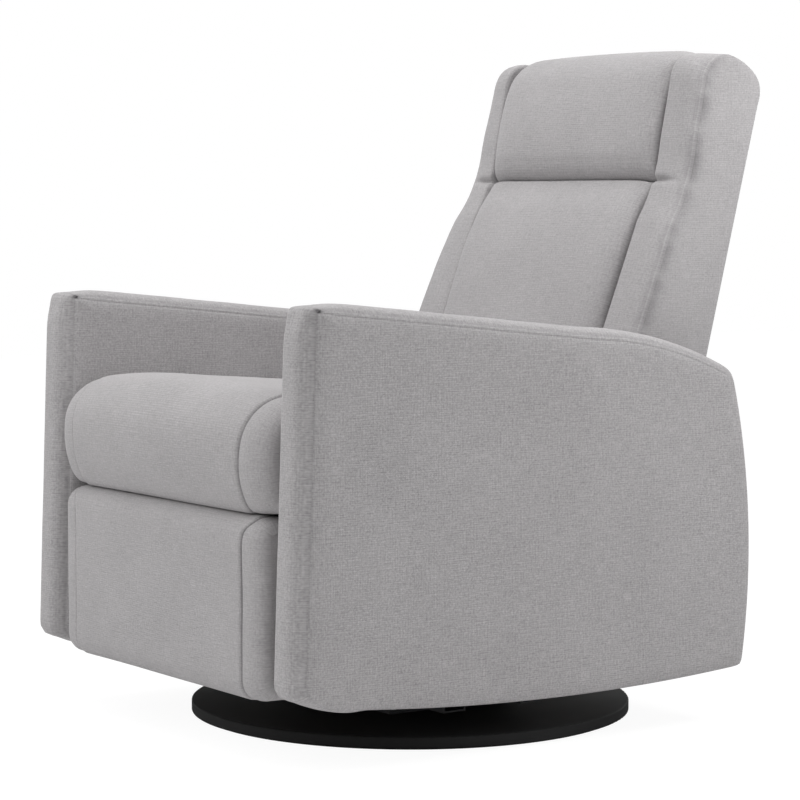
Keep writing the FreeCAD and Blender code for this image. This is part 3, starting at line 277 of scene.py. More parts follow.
# Rear panels
PANEL_SKIN = 10.0
PANEL_SLANT = 2.0
PANEL_END_GAP = 1.5 * MM
PANEL_FADE = 12 * MM
PANEL_EDGE_DROP = 2.5 * MM
PANEL_EDGE_ROLL = 6 * MM
PANEL_CROWN_POWER = 4
PANEL_CORNER = 2.5 * MM
PANEL_CROWN = 2 * MM
PANEL_FOOT = (291.5, 283.0)
PANEL_TOP = (456.0, 930.0)
REAR_PAD_FRONT = 327.0
REAR_PAD_BACK = 345.0
REAR_PAD_FOOT = 99.0
REAR_PAD_TOP = 320.0
REAR_PAD_CROWN = 4 * MM
REAR_PAD_CORNER = 5 * MM
REAR_PAD_END_GAP = 0.5 * MM
REAR_PAD_EDGE_DROP = 6 * MM
REAR_PAD_EDGE_ROLL = 14 * MM
REAR_PAD_SPINE_INSET = 9.0
REAR_PAD_FOOT_FADE = (-4 * MM, 25 * MM)
REAR_PAD_TOP_FADE = (-25 * MM, 4 * MM)

# Seam mask: how much shade is painted into each seam, crease and notch, 1 and above being the darkest, and
# its line's width; the stitch line is pale thread
MARK_LIMIT = 1.5
SOFT_LINE = 2 * MM
ARM_SEAM_MARK = 0.16
ARM_SEAM_TOP_MARK = 0.2
ARM_SEAM_LINE = 1.3 * MM
ARM_WELT_MARK = 0.16
ARM_WELT_LINE = 1.0 * MM
ARM_MITRE_MARK = 0.22
ARM_MITRE_LINE = 1.2 * MM
ARM_NOTCH_MARK = 1.7
ARM_NOTCH_LINE = 2.8 * MM
SEAT_SEAM_MARK = 0.7
SEAT_SEAM_LINE = 1.0 * MM
PAD_SEAM_MARK = 0.7
PAD_SEAM_MIDDLE_MARK = 0.5
PAD_SEAM_MIDDLE = 0.6
PAD_SEAM_MIDDLE_WIDTH = 0.4
PAD_SEAM_LINE = 0.9 * MM
PUCKER_MARK = 0.48
PUCKER_MARK_SHARE = 0.7
PUCKER_SIDE_MARK = 0.6
BOLSTER_INNER_MARK = 0.15
BOLSTER_EDGE_MARK = 0.12
BOLSTER_EDGE_LINE = 1.0 * MM
TUCK_MARK = 0.35
TUCK_LINE = 2.5 * MM
TUCK_MARK_FADE = (0.85, 0.2)
STITCH_MARK = 0.24
STITCH_INSET = 2 * MM
STITCH_LINE = 0.8 * MM
LUMBAR_SIDE_MARK = 0.1
CREASE_MARK = 0.3
CREASE_INSET = 4 * MM
PILLOW_SIDE_MARK = 0.15
PILLOW_FOOT_MARK = 0.1
PILLOW_FOOT_LINE = 6 * MM
PANEL_EDGE_MARK = 0.3
REAR_PAD_EDGE_MARK = 0.4

# Cloth
CLOTH_LIGHT = (0.545, 0.528, 0.534)
CLOTH_DARK = (0.275, 0.265, 0.269)
# Painted shade for seam valleys, creases and notches
CLOTH_SEAM_SHADE = (0.115, 0.110, 0.114)
CLOTH_STITCH = (0.60, 0.585, 0.59)
THREAD_PITCH = 3.0 * MM
THREAD_WOBBLE = 0.9 * MM
WARP_SHARE = 0.9
WOBBLE_SCALE = 55.0
STREAK_STRETCH = (38.0, 620.0, 1.0)
THREAD_STRETCH = (420.0, 46.0, 1.0)
SPECK_SCALE = 330.0
CLOUD_SCALE = 9.0
FRAME_CONTRAST = 1.02
CUSHION_CONTRAST = 0.72

# Other finishes, each with its darker and its lighter shade
PAINT_SHADES = ((0.022, 0.022, 0.0225), (0.031, 0.031, 0.0317))
POWDER_SHADES = ((0.018, 0.018, 0.02), (0.04, 0.04, 0.043))
ZINC_SHADES = ((0.55, 0.55, 0.57), (0.72, 0.71, 0.68))
WOOD_SHADES = ((0.30, 0.19, 0.10), (0.60, 0.44, 0.28))
RUBBER_SHADES = ((0.012, 0.012, 0.012), (0.028, 0.027, 0.027))
NYLON_SHADES = ((0.66, 0.64, 0.58), (0.78, 0.77, 0.72))
PLASTIC_SHADES = ((0.014, 0.014, 0.015), (0.03, 0.03, 0.032))
WEBBING_SHADES = ((0.03, 0.03, 0.033), (0.16, 0.15, 0.14))
WEBBING_RIB = 2.2 * MM
WEBBING_STRIPE = 25 * MM

# Mesh: the steps between its lines, and how far from a fold the lines stay close
STEP = 6 * MM
FINE = 1.1 * MM
REACH = 8 * MM
CURVE_STEP = 0.5 * MM
STRIP_STEP = 4 * MM
BACK_STEP = 8 * MM
SEAT_STEP = 9 * MM
PANEL_STEP = 10 * MM
SEAT_REACH = 10 * MM
PAD_REACH = 9 * MM
BOLSTER_REACH = 10 * MM
CUSHION_REACH = 14 * MM
SPACING_SAMPLES = 4000
END_RINGS = MM * np.array([
    0.5, 1.0, 1.6, 2.3, 3.1, 4.0, 5.0, 6.0, 7.0,
    8.2, 10, 12.5, 15.5, 19, 23, 28, 34, 42,
])
END_DEPTH = 25 * MM
EDGE_SHARE = 0.85
INNER_RINGS = 8
INNER_SHARE = 0.985

# Unevenness: how the three waves differ in rate and in phase
RIPPLE_RATES = (1.0, 1.618, 0.577)
RIPPLE_LAGS = (1.0, 2.3, 4.1)


# Curves and spacing

def smooth_step(low, high, value):
    """0 below low and 1 above high, joined by the S-shaped cubic 3t^2 - 2t^3."""
    share = np.clip((value - low) / (high - low), 0.0, 1.0)
    return share * share * (3 - 2 * share)


def window(value, rise, fall):
    """1 between two smooth steps, each given by where it starts and where it ends."""
    return smooth_step(*rise, value) * (1 - smooth_step(*fall, value))


def around(place, span):
    """The two ends of a span that is measured from a place."""
    return place + span[0], place + span[1]


def bell(distance, width):
    """1 at no distance, falling off on both sides as exp of minus the square of distance / width."""
    return np.exp(-np.square(distance / width))


def ripple(place, wavelength, phase):
    """Unevenness between about -1 and 1: three sine waves of unrelated lengths, added up."""
    turn = 2 * np.pi * place / wavelength
    waves = [np.sin(rate * turn + lag * phase) for rate, lag in zip(RIPPLE_RATES, RIPPLE_LAGS)]
    return sum(waves) / len(waves)


def rolled(distance, roll):
    """A quarter circle: 1 at the edge, 0 from a roll's length inwards, and round between."""
    share = np.clip(1 - distance / roll, 0.0, 1.0)
    return 1 - np.sqrt(1 - share * share)


def spaced(low, high, step, near=(), reach=REACH):
    """Places from low to high, a step apart, that close up to a fine step around some places.
    Their density is 1 / step, raised by bells to 1 / FINE, and they are equal shares of its sum."""
    dense = np.linspace(low, high, SPACING_SAMPLES)
    weight = np.full_like(dense, 1 / step)
    for place in near:
        weight = np.maximum(weight, bell(dense - place, reach) / FINE)
    between = (weight[1:] + weight[:-1]) / 2
    total = np.concatenate([[0.0], np.cumsum(between) * (dense[1] - dense[0])])
    count = int(np.ceil(total[-1])) + 1
    return np.interp(np.linspace(0.0, total[-1], count), total, dense)


def arc_through(start, middle, end):
    """Points on the circle through three places, from start to end by way of middle."""
    a, b, c = start, middle, end
    ratio = (c - a) / (b - a)
    centre = a + (b - a) * (ratio - abs(ratio) ** 2) / (2j * ratio.imag)
    sweep = np.angle((c - centre) / (a - centre))
    count = max(int(abs(sweep) * abs(a - centre) / CURVE_STEP), 2)
    return centre + (a - centre) * np.exp(1j * sweep * np.linspace(0, 1, count, endpoint=False))


class Loop:
    """A closed line in the (y, z) plane, kept as complex numbers and read by the length run along it.
    A step of one point is straight and one of two points is an arc through the first. The corners
    are rounded by averaging each place with its neighbours under a bell as wide as the corner."""

    def __init__(self, start, steps, corner):
        here = complex(*start) * MM
        pieces = []
        for step in list(steps) + [(start,)]:
            points = [complex(*point) * MM for point in step]
            if len(points) == 2:
                pieces.append(arc_through(here, points[0], points[1]))
            else:
                count = max(int(abs(points[0] - here) / CURVE_STEP), 2)
                pieces.append(here + (points[0] - here) * np.linspace(0, 1, count, endpoint=False))
            here = points[-1]
        line = self.evenly(np.concatenate(pieces))
        gap = abs(line[1] - line[0])
        damp = np.exp(-2 * np.square(np.pi * corner * np.fft.fftfreq(len(line), gap)))
        self.line = self.evenly(np.fft.ifft(np.fft.fft(line) * damp))
        self.length = abs(self.line[1] - self.line[0]) * len(self.line)
        along = np.roll(self.line, -1) - np.roll(self.line, 1)
        area = np.sum((np.conj(self.line) * np.roll(self.line, -1)).imag)
        self.outward = along / abs(along) * (-1j if area > 0 else 1j)

    @staticmethod
    def evenly(line):
        """As many places as before on a closed line, all the same length apart."""
        closed = np.append(line, line[0])
        run = np.concatenate([[0.0], np.cumsum(abs(np.diff(closed)))])
        places = np.linspace(0, run[-1], len(line), endpoint=False)
        return np.interp(places, run, closed.real) + 1j * np.interp(places, run, closed.imag)

    def read(self, values, run):
        """The value at a run, from values spread evenly along the line."""
        places = np.linspace(0, self.length, len(values) + 1)
        closed = np.append(values, values[0])
        return np.interp(run, places, closed.real) + 1j * np.interp(run, places, closed.imag)

    def point(self, run):
        return self.read(self.line, run)

    def normal(self, run):
        value = self.read(self.outward, run)
        return value / abs(value)

    def find(self, place):
        """The run of the place on the line that is nearest to a (y, z) point."""
        return np.argmin(abs(self.line - complex(*place) * MM)) * self.length / len(self.line)

    def runs(self, near=()):
        """Places along the line for the columns of a mesh, closer together around some places."""
        return spaced(0.0, self.length, STEP, near)[:-1]


# Shells

def nearest_on(spine, points):
    """The places on the straight line between the ends of a spine that are nearest to some points."""
    start = complex(*spine[0]) * MM
    along = complex(*spine[-1]) * MM - start
    share = ((points - start) * np.conj(along)).real / max(abs(along) ** 2, MM ** 2)
    return start + along * np.clip(share, 0.0, 1.0)


def zipped(heights):
    """Triangles that close a flat ring of places. Its two sides are walked from the lowest place to
    the highest, and the steps of both are put in the order of the greatest height reached so far.
    Each step makes a triangle with the place that the other side has reached."""
    count = len(heights)
    low, high = int(np.argmin(heights)), int(np.argmax(heights))
    left = (low + np.arange((high - low) % count + 1)) % count
    right = (low - np.arange((low - high) % count + 1)) % count
    reached = [np.maximum.accumulate(heights[side[1:]]) for side in (left, right)]
    on_left = np.argsort(np.concatenate(reached), kind="stable") < len(left) - 1
    left_after = np.cumsum(on_left)
    right_after = np.cumsum(~on_left)
    third = np.where(on_left, left[left_after], right[right_after])
    triangles = np.stack([right[right_after - ~on_left], left[left_after - on_left], third], axis=-1)
    return triangles[np.all(triangles != np.roll(triangles, 1, axis=1), axis=1)]


def shell(name, loop, runs, across, middle, swell, spine, seam=None, shift=None,
          end_rise=None, end_seam=None, warp=None):
    """A closed padded form. Its strip is the loop carried along x, moved along x by shift(run, x) and
    outwards by swell(run, x). Each end is closed by rings that shrink from the strip's edge towards
    a spine, a point or a straight line, and stand out along x by end_rise(distance from the edge,
    run). The masks seam(run, x) and end_seam(distance, run) are above 0 where shade is painted along
    seams and creases, and below 0 along pale stitches. At the end warp(x, plane) moves all points."""
    point = loop.point(runs)[None, :]
    normal = loop.normal(runs)[None, :]
    x = np.broadcast_to(across[:, None], (len(across), len(runs)))
    if shift is not None:
        x = x + shift(runs[None, :], x)
    strip = point + normal * swell(runs[None, :], x)
    strip_seam = np.zeros(strip.shape) if seam is None else seam(runs[None, :], x) + 0 * x
    rings = {}
    for side, edge in ((-1, strip[0]), (1, strip[-1])):
        foot = nearest_on(spine, edge)
        arm = edge - foot
        depth = np.maximum((arm * np.conj(normal[0])).real, END_DEPTH)
        share = END_RINGS[:, None] / np.maximum(depth, END_RINGS[-1] / EDGE_SHARE)[None, :]
        inner = np.linspace(0, 1, INNER_RINGS + 1)[1:, None]
        share = np.concatenate([share, share[-1] + (INNER_SHARE - share[-1]) * inner])
        distance = share * depth
        rise = np.zeros(share.shape) if end_rise is None else end_rise(distance, runs[None, :]) + 0 * share
        mask = np.zeros(share.shape) if end_seam is None else end_seam(distance, runs[None, :]) + 0 * share
        ring_x = (x[0] if side < 0 else x[-1])[None, :] + side * rise
        rings[side] = (foot + arm[None, :] * (1 - share), ring_x, mask)
    plane = np.concatenate([rings[-1][0][::-1], strip, rings[1][0]])
    xs = np.concatenate([rings[-1][1][::-1], x, rings[1][1]]) + middle
    strip_runs = np.broadcast_to(runs, xs.shape)
    strip_uv = np.stack([xs, strip_runs], axis=-1)
    if warp is not None:
        xs, plane = warp(xs, plane)
    mask = np.concatenate([rings[-1][2][::-1], strip_seam, rings[1][2]])
    points = np.stack([xs, plane.real, plane.imag], axis=-1)
    strip_uv = np.concatenate([strip_uv, strip_uv[:, :1] + np.array([0.0, loop.length])], axis=1)
    return build(name, points, len(END_RINGS) + INNER_RINGS, strip_uv, mask)


def build(name, points, ends, strip_uv, mask):
    """A mesh from a grid that wraps round and is zipped shut at each end. Strip faces take their
    cloth coordinates from a grid of their own and the ends from y and z. Faces are turned outwards."""
    rows, columns = points.shape[:2]
    index = np.arange(rows * columns).reshape(rows, columns)
    after = np.roll(index, -1, axis=1)
    quads = np.stack([index[:-1], after[:-1], after[1:], index[1:]], axis=-1).reshape(-1, 4)
    first = index[0][zipped(points[0, :, 2])[:, ::-1]]
    last = index[-1][zipped(points[-1, :, 2])]
    panel_uv = np.concatenate([points[:, :, 1:], points[:, :1, 1:]], axis=1)
    corner_uv = []
    for uv in (strip_uv, panel_uv):
        corner_uv.append(np.stack([uv[:-1, :-1], uv[:-1, 1:], uv[1:, 1:], uv[1:, :-1]], axis=2))
    on_strip = np.zeros(rows - 1, bool)
    on_strip[ends:rows - 1 - ends] = True
    quad_uv = np.where(on_strip[:, None, None, None], corner_uv[0], corner_uv[1]).reshape(-1, 4, 2)
    points = points.reshape(-1, 3)
    volume = np.sum(np.cross(points[quads[:, 0]], points[quads[:, 1]]) * points[quads[:, 2]])
    volume += np.sum(np.cross(points[quads[:, 0]], points[quads[:, 2]]) * points[quads[:, 3]])
    turn = slice(None) if volume > 0 else slice(None, None, -1)
    faces = quads[:, turn].tolist() + first[:, turn].tolist() + last[:, turn].tolist()
    uv = [quad_uv[:, turn], points[first[:, turn]][:, :, 1:], points[last[:, turn]][:, :, 1:]]
    mesh = bpy.data.meshes.new(name)
    mesh.from_pydata(points.tolist(), [], faces)
    layer = mesh.uv_layers.new(name="cloth")
    layer.uv.foreach_set("vector", np.concatenate([part.reshape(-1) for part in uv]).astype(np.float32))
    # Painted shade along seams and creases, and pale stitches below 0
    seam = mesh.attributes.new("seam", "FLOAT", "POINT")
    seam.data.foreach_set("value", mask.ravel().astype(np.float32))
    mesh.polygons.foreach_set("use_smooth", np.ones(len(mesh.polygons), bool))
    mesh.update()
    piece = bpy.data.objects.new(name, mesh)
    bpy.context.scene.collection.objects.link(piece)
    return piece


def dress(piece, body, node, finish):
    """Puts a soft piece on its body in place of its plain solid."""
    piece.data.materials.append(finish)
    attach(piece, body)
    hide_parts(node)


# Arms

def arm(side, finish):
    """A padded slab: two side panels rolled at their edges and a crowned boxing strip between them,
    with a seam valley on each side, a seam across the strip at the front top corner and a welt."""
    name = "arm_cover_left" if side > 0 else "arm_cover_right"
    low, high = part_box(name)
    loop = Loop(ARM_TOE, [
        (ARM_BELLY, ARM_REAR_FOOT),
        (ARM_REAR_BULGE, ARM_REAR_TOP),
        (ARM_SHOULDER, ARM_TOP_END),
        (ARM_FRONT_TOP,),
        (ARM_HEEL,),
        (ARM_TOE_BEND, ARM_TOE),
    ], ARM_CORNER)
    corner = loop.find(ARM_FRONT_TOP)
    runs = loop.runs(near=[corner, loop.find(ARM_REAR_TOP)])
    across = spaced(-ARM_STRIP_HALF, ARM_STRIP_HALF, STRIP_STEP, near=(-ARM_STRIP_HALF, ARM_STRIP_HALF))
    facing = loop.normal(runs)
    upward = np.clip(facing.imag, 0, 1)[None, :] ** 2
    forward = np.clip(-facing.real, 0, 1)[None, :] ** 2
    rearward = np.clip(facing.real, 0, 1)[None, :] ** 2
    fullness = ARM_TOP_CROWN * upward + ARM_FRONT_CROWN * forward + ARM_REAR_CROWN * rearward
    # Painted shade along the seams and beside the welt, stronger where the strip faces up
    welt_mask = smooth_step(*ARM_WELT_FADE, upward)
    edge_mask = ARM_SEAM_MARK + ARM_SEAM_TOP_MARK * upward

    def swell(run, x):
        share = abs(x) / ARM_STRIP_HALF
        crown = fullness * (1 - share ** ARM_CROWN_POWER)
        slack = ARM_CORNER_SLACK * bell(run - corner, ARM_SLACK_WIDTH) * (1 - share * share)
        mitre = ARM_MITRE_DEPTH * bell(run - corner, ARM_MITRE_WIDTH)
        valley = ARM_VALLEY * bell(ARM_STRIP_HALF - abs(x), ARM_VALLEY_WIDTH)
        uneven = ARM_UNEVEN * ripple(run, ARM_UNEVEN_LENGTH, phase=1.0) * (1 - share)
        return crown - slack - mitre - valley + uneven

    # Painted shade in the seam valleys, across the mitre and in the dark notch at the front top corner
    def seam(run, x):
        edge = edge_mask * bell(ARM_STRIP_HALF - abs(x), ARM_SEAM_LINE)
        mitre = ARM_MITRE_MARK * bell(run - corner, ARM_MITRE_LINE)
        notch = ARM_NOTCH_MARK * bell(np.hypot(run - corner, ARM_STRIP_HALF - abs(x)), ARM_NOTCH_LINE)
        return np.minimum(edge + mitre + notch, MARK_LIMIT)

    def end_rise(distance, run):
        roll = ARM_PANEL_RISE * (1 - rolled(distance, ARM_PANEL_ROLL))
        welt = ARM_WELT_DEPTH * bell(distance - ARM_WELT, ARM_WELT_WIDTH) * welt_mask
        pinch = ARM_PINCH_DEPTH * bell(np.hypot(run - corner, distance), ARM_PINCH_WIDTH)
        wave = ARM_UNEVEN * ripple(run, ARM_WAVE_LENGTH, phase=2.0)
        return roll - welt - pinch + wave * bell(distance - ARM_WAVE_INSET, ARM_WAVE_WIDTH)

    # Painted shade along the panel's edge seam, beside the welt and in the notch at the front top corner
    def end_seam(distance, run):
        edge = edge_mask * bell(distance, ARM_SEAM_LINE)
        welt = ARM_WELT_MARK * bell(distance - ARM_WELT, ARM_WELT_LINE) * welt_mask
        notch = ARM_NOTCH_MARK * bell(np.hypot(run - corner, distance), ARM_NOTCH_LINE)
        return np.minimum(edge + welt + notch, MARK_LIMIT)

    middle = (low[0] + high[0]) / 2
    piece = shell("arm_padding_" + name.split("_")[-1], loop, runs, across, middle, swell, [ARM_MIDDLE],
                  seam, end_rise=end_rise, end_seam=end_seam)
    dress(piece, "chair", name, finish)


# Seat cushion

def seat(finish):
    """A cushion rolled over its front, with a crowned panel between two seams and a gusset outside
    each seam that rolls down towards the arm."""
    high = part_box("seat_cushion")[1]
    half = high[0] - SEAT_END_GAP
    loop = Loop(SEAT_REAR_FOOT, [
        (SEAT_REAR_TOP,),
        (SEAT_CROWN_POINT, SEAT_ROLL),
        (SEAT_BROW, SEAT_NOSE),
        (SEAT_CHIN, SEAT_LIP),
        (SEAT_LIP_REAR,),
        (SEAT_RAIL_FRONT,),
    ], SEAT_CORNER)
    top_start = loop.find(SEAT_REAR_TOP)
    nose = loop.find(SEAT_NOSE)
    lip = loop.find(SEAT_LIP)
    runs = loop.runs()
    folds = (-SEAT_SEAM_TOP, SEAT_SEAM_TOP, -half, half)
    across = spaced(-half, half, SEAT_STEP, near=folds, reach=SEAT_REACH)
    shown = window(runs, around(top_start, SEAT_REAR_FADE), around(lip, SEAT_LIP_FADE))[None, :]

    def bend(run):
        return (SEAT_SEAM_FOOT - SEAT_SEAM_TOP) * smooth_step(*around(nose, SEAT_BEND_FADE), run)

    def seam_shift(run, x):
        outside = smooth_step(SEAT_SEAM_TOP, half, abs(x))
        return np.sign(x) * bend(run) * (bell(abs(x) - SEAT_SEAM_TOP, SEAT_SEAM_FADE) * (1 - outside))

    def seam_distance(run, x):
        return abs(x) - (SEAT_SEAM_TOP + bend(run))

    def swell(run, x):
        gap = seam_distance(run, x)
        inside = np.clip(1 + gap / SEAT_SEAM_TOP, 0, 1)
        high_part = 1 - smooth_step(nose - SEAT_CROWN_FADE, lip, run)
        crown = SEAT_CROWN * (1 - inside ** SEAT_CROWN_POWER) * high_part
        panel = crown + SEAT_PANEL_STEP * (1 - rolled(-gap, SEAT_PANEL_ROLL))
        gusset = -SEAT_GUSSET_DROP * rolled(half - abs(x), SEAT_GUSSET_ROLL * (half - SEAT_SEAM_TOP))
        valley = SEAM_VALLEY * bell(gap, SEAT_VALLEY_WIDTH)
        uneven = SEAT_UNEVEN * ripple(run + SEAT_UNEVEN_SKEW * x, SEAT_UNEVEN_LENGTH, phase=0.7)
        return (SEAT_GUSSET_LIFT + np.where(gap < 0, panel, gusset) - valley + uneven) * shown

    # Painted shade in the seam valleys between the crowned panel and the gussets
    def seam(run, x):
        return SEAT_SEAM_MARK * bell(seam_distance(run, x), SEAT_SEAM_LINE) * shown

    def end_rise(distance, run):
        return SEAT_END_RISE * smooth_step(0, SEAT_END_ROLL, distance)

    piece = shell("seat_cushion_padding", loop, runs, across, 0.0, swell, SEAT_SPINE,
                  seam, seam_shift, end_rise)
    dress(piece, "chair", "seat_cushion", finish)


# Footrest panel

def footrest(finish):
    """A panel with rolled edges, a flat crowned face and an end strip outside each seam. The seams
    run straight up the face and arch outwards at the top."""
    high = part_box("footrest_pad")[1]
    half = high[0] - PAD_END_GAP
    corner = PAD_EDGE * (1 - math.sqrt(0.5))
    loop = Loop((PAD_BACK, PAD_FOOT), [
        ((PAD_FRONT + PAD_EDGE, PAD_FOOT),),
        ((PAD_FRONT + corner, PAD_FOOT + corner), (PAD_FRONT, PAD_FOOT + PAD_EDGE)),
        ((PAD_FRONT, PAD_TOP - PAD_EDGE),),
        ((PAD_FRONT + corner, PAD_TOP - corner), (PAD_FRONT + PAD_EDGE, PAD_TOP)),
        ((PAD_BACK, PAD_TOP),),
    ], PAD_CORNER)
    foot = loop.find((PAD_FRONT + corner, PAD_FOOT + corner))
    top = loop.find((PAD_FRONT + corner, PAD_TOP - corner))
    runs = loop.runs()
    folds = (-PAD_SEAM, PAD_SEAM, -half, half)
    across = spaced(-half, half, SEAT_STEP, near=folds, reach=PAD_REACH)
    shown = window(runs, around(foot, PAD_FOOT_FADE), around(top, PAD_TOP_FADE))[None, :]

    def arch(run):
        share = np.clip((run - (top - PAD_SEAM_ARCH)) / PAD_SEAM_ARCH, 0, 1)
        return PAD_SEAM_SPREAD * (1 - np.sqrt(1 - PAD_ARCH_SHARE * share * share))

    def seam_shift(run, x):
        inside = abs(x) < half - 1 * MM
        return np.sign(x) * arch(run) * bell(abs(x) - PAD_SEAM, PAD_SEAM_FADE) * inside

    def swell(run, x):
        gap = abs(x) - PAD_SEAM - arch(run)
        inside = np.clip(1 + gap / PAD_SEAM, 0, 1)
        height = np.clip((run - foot) / (top - foot), 0, 1)
        crown = PAD_CROWN * (1 - inside ** PAD_CROWN_POWER) * np.sin(np.pi * height)
        panel = crown + PAD_PANEL_STEP * (1 - rolled(-gap, PAD_PANEL_ROLL))
        end = PAD_END_DROP * rolled(half - abs(x), PAD_END_ROLL)
        valley = SEAM_VALLEY * bell(gap, PAD_VALLEY_WIDTH)
        uneven = PAD_UNEVEN * ripple(run + PAD_UNEVEN_SKEW * x, PAD_UNEVEN_LENGTH, phase=2.2)
        return (PAD_STRIP_LIFT + np.where(gap < 0, panel, 0.0) - end - valley + uneven) * shown

    # Painted shade in the seam valleys, darkest halfway up the face
    def seam(run, x):
        height = (run - foot) / (top - foot)
        mark = PAD_SEAM_MARK + PAD_SEAM_MIDDLE_MARK * bell(height - PAD_SEAM_MIDDLE, PAD_SEAM_MIDDLE_WIDTH)
        return mark * bell(abs(x) - PAD_SEAM - arch(run), PAD_SEAM_LINE) * shown

    piece = shell("footrest_padding", loop, runs, across, 0.0, swell, PAD_SPINE, seam, seam_shift)
    dress(piece, "footrest", "footrest_pad", finish)


# Backrest

def flared(side, inner, outer):
    """A warp that widens a bolster downwards and draws its front edge forward with it. It is full
    at the outer front edge and fades out towards the inner seam and towards the rear."""
    def warp(xs, plane):
        heights = plane.imag[..., None] + np.linspace(-FLARE_BLUR, FLARE_BLUR, FLARE_SAMPLES)
        widen = np.interp(heights, np.array(FLARE_HEIGHTS) * MM, np.array(FLARE_WIDTHS) * MM).mean(axis=-1)
        lean = (BACK_REAR_TOP[0] - BACK_REAR_FOOT[0]) / (BACK_REAR_TOP[1] - BACK_REAR_FOOT[1])
        rear = BACK_REAR_FOOT[0] * MM + lean * (plane.imag - BACK_REAR_FOOT[1] * MM)
        ahead = smooth_step(*FLARE_FADE, rear - plane.real)
        share = np.clip((abs(xs) - inner) / (outer - inner), 0, 1)
        return xs + side * widen * share * ahead, plane - FLARE_FORWARD * widen * share * ahead
    return warp


def bolster(side, finish):
    """One side of the back: a front strip that slopes back towards its outer seam, with dents where
    the seam puckers, a tuck in line with the headrest crease and a flat panel outside."""
    name = "side_bolster_left" if side > 0 else "side_bolster_right"
    low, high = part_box(name)
    half = (high[0] - low[0]) / 2
    middle = (high[0] + low[0]) / 2
    loop = Loop(BACK_FOOT, [
        (BACK_KINK_FOOT,),
        (BACK_KINK, BACK_KINK_TOP),
        (BACK_BROW,),
        (BACK_BROW_BEND, BACK_TOP_FRONT),
        (BACK_TOP_BEND, BACK_TOP_REAR),
        (BACK_REAR_BEND, BACK_REAR_TOP),
        (BACK_REAR_FOOT,),
    ], BACK_CORNER)
    crease = loop.find((BACK_KINK[0], CREASE_Z))
    brow = loop.find(BACK_BROW_BEND)
    top_rear = loop.find(BACK_TOP_REAR)
    runs = loop.runs(near=[crease])
    strip_half = half - BOLSTER_PANEL_RISE / 2
    folds = (-strip_half, strip_half)
    across = spaced(-strip_half, strip_half, STRIP_STEP, near=folds, reach=BOLSTER_REACH)
    front = window(runs, BOLSTER_FOOT_FADE, around(brow, BOLSTER_BROW_FADE))[None, :]
    shown = window(runs, BOLSTER_FOOT_FADE, around(top_rear, BOLSTER_TOP_FADE))[None, :]
    padded = front + BOLSTER_TOP_SHARE * (shown - front)

    def pucker(run):
        gather = PUCKER_LONG_SHARE * ripple(run, PUCKER_LONG, phase=1.3)
        gather = gather + PUCKER_SHORT_SHARE * ripple(run, PUCKER_SHORT, phase=0.4)
        return np.clip(PUCKER_LEVEL + PUCKER_RANGE * gather, 0.0, 1.0) * front

    def swell(run, x):
        outside = strip_half - x * side
        share = 1 - outside / (2 * strip_half)
        slope = BOLSTER_SLOPE * (1 - share) * padded
        crown = BOLSTER_CROWN * 4 * share * (1 - share) * padded
        inner = BOLSTER_INNER_DROP * rolled(2 * strip_half - outside, BOLSTER_INNER_ROLL) * shown
        outer = BOLSTER_OUTER_RISE * (1 - rolled(outside, BOLSTER_OUTER_ROLL)) * padded
        dents = PUCKER_DEPTH * pucker(run) * bell(outside - PUCKER_INSET, PUCKER_WIDTH)
        tuck = TUCK_DEPTH * bell(run - crease, TUCK_WIDTH) * smooth_step(*TUCK_FADE, share) * front
        return slope + crown + outer - inner - dents - tuck

    # Painted shade where the outer seam puckers, along the inner edge and in the tuck; the pale stitch line
    # is thread
    def seam(run, x):
        outside = strip_half - x * side
        pucker_shade = PUCKER_MARK * pucker(run) * bell(outside, PUCKER_MARK_SHARE * PUCKER_WIDTH)
        inner = BOLSTER_INNER_MARK * bell(2 * strip_half - outside, SOFT_LINE) * shown
        inward = smooth_step(*TUCK_MARK_FADE, 1 - outside / (2 * strip_half))
        tuck = TUCK_MARK * bell(run - crease, TUCK_LINE) * inward * front
        stitch = STITCH_MARK * bell(outside - STITCH_INSET, STITCH_LINE) * front
        return pucker_shade + inner + tuck - stitch

    def end_rise(distance, run):
        roll = BOLSTER_PANEL_RISE * (1 - rolled(distance, BOLSTER_PANEL_ROLL))
        return roll - PUCKER_SIDE_SHARE * PUCKER_DEPTH * pucker(run) * bell(distance, PUCKER_WIDTH)

    # Painted shade where the seam puckers onto the side panel and along the panel's edge
    def end_seam(distance, run):
        pucker_shade = PUCKER_SIDE_MARK * pucker(run) * bell(distance, PUCKER_WIDTH)
        return pucker_shade + BOLSTER_EDGE_MARK * bell(distance, BOLSTER_EDGE_LINE) * shown

    nearer, farther = sorted((abs(low[0]), abs(high[0])))
    piece = shell("back_bolster_" + name.split("_")[-1], loop, runs, across, middle, swell, BACK_SPINE,
                  seam, end_rise=end_rise, end_seam=end_seam, warp=flared(side, nearer, farther))
    dress(piece, "backrest", name, finish)


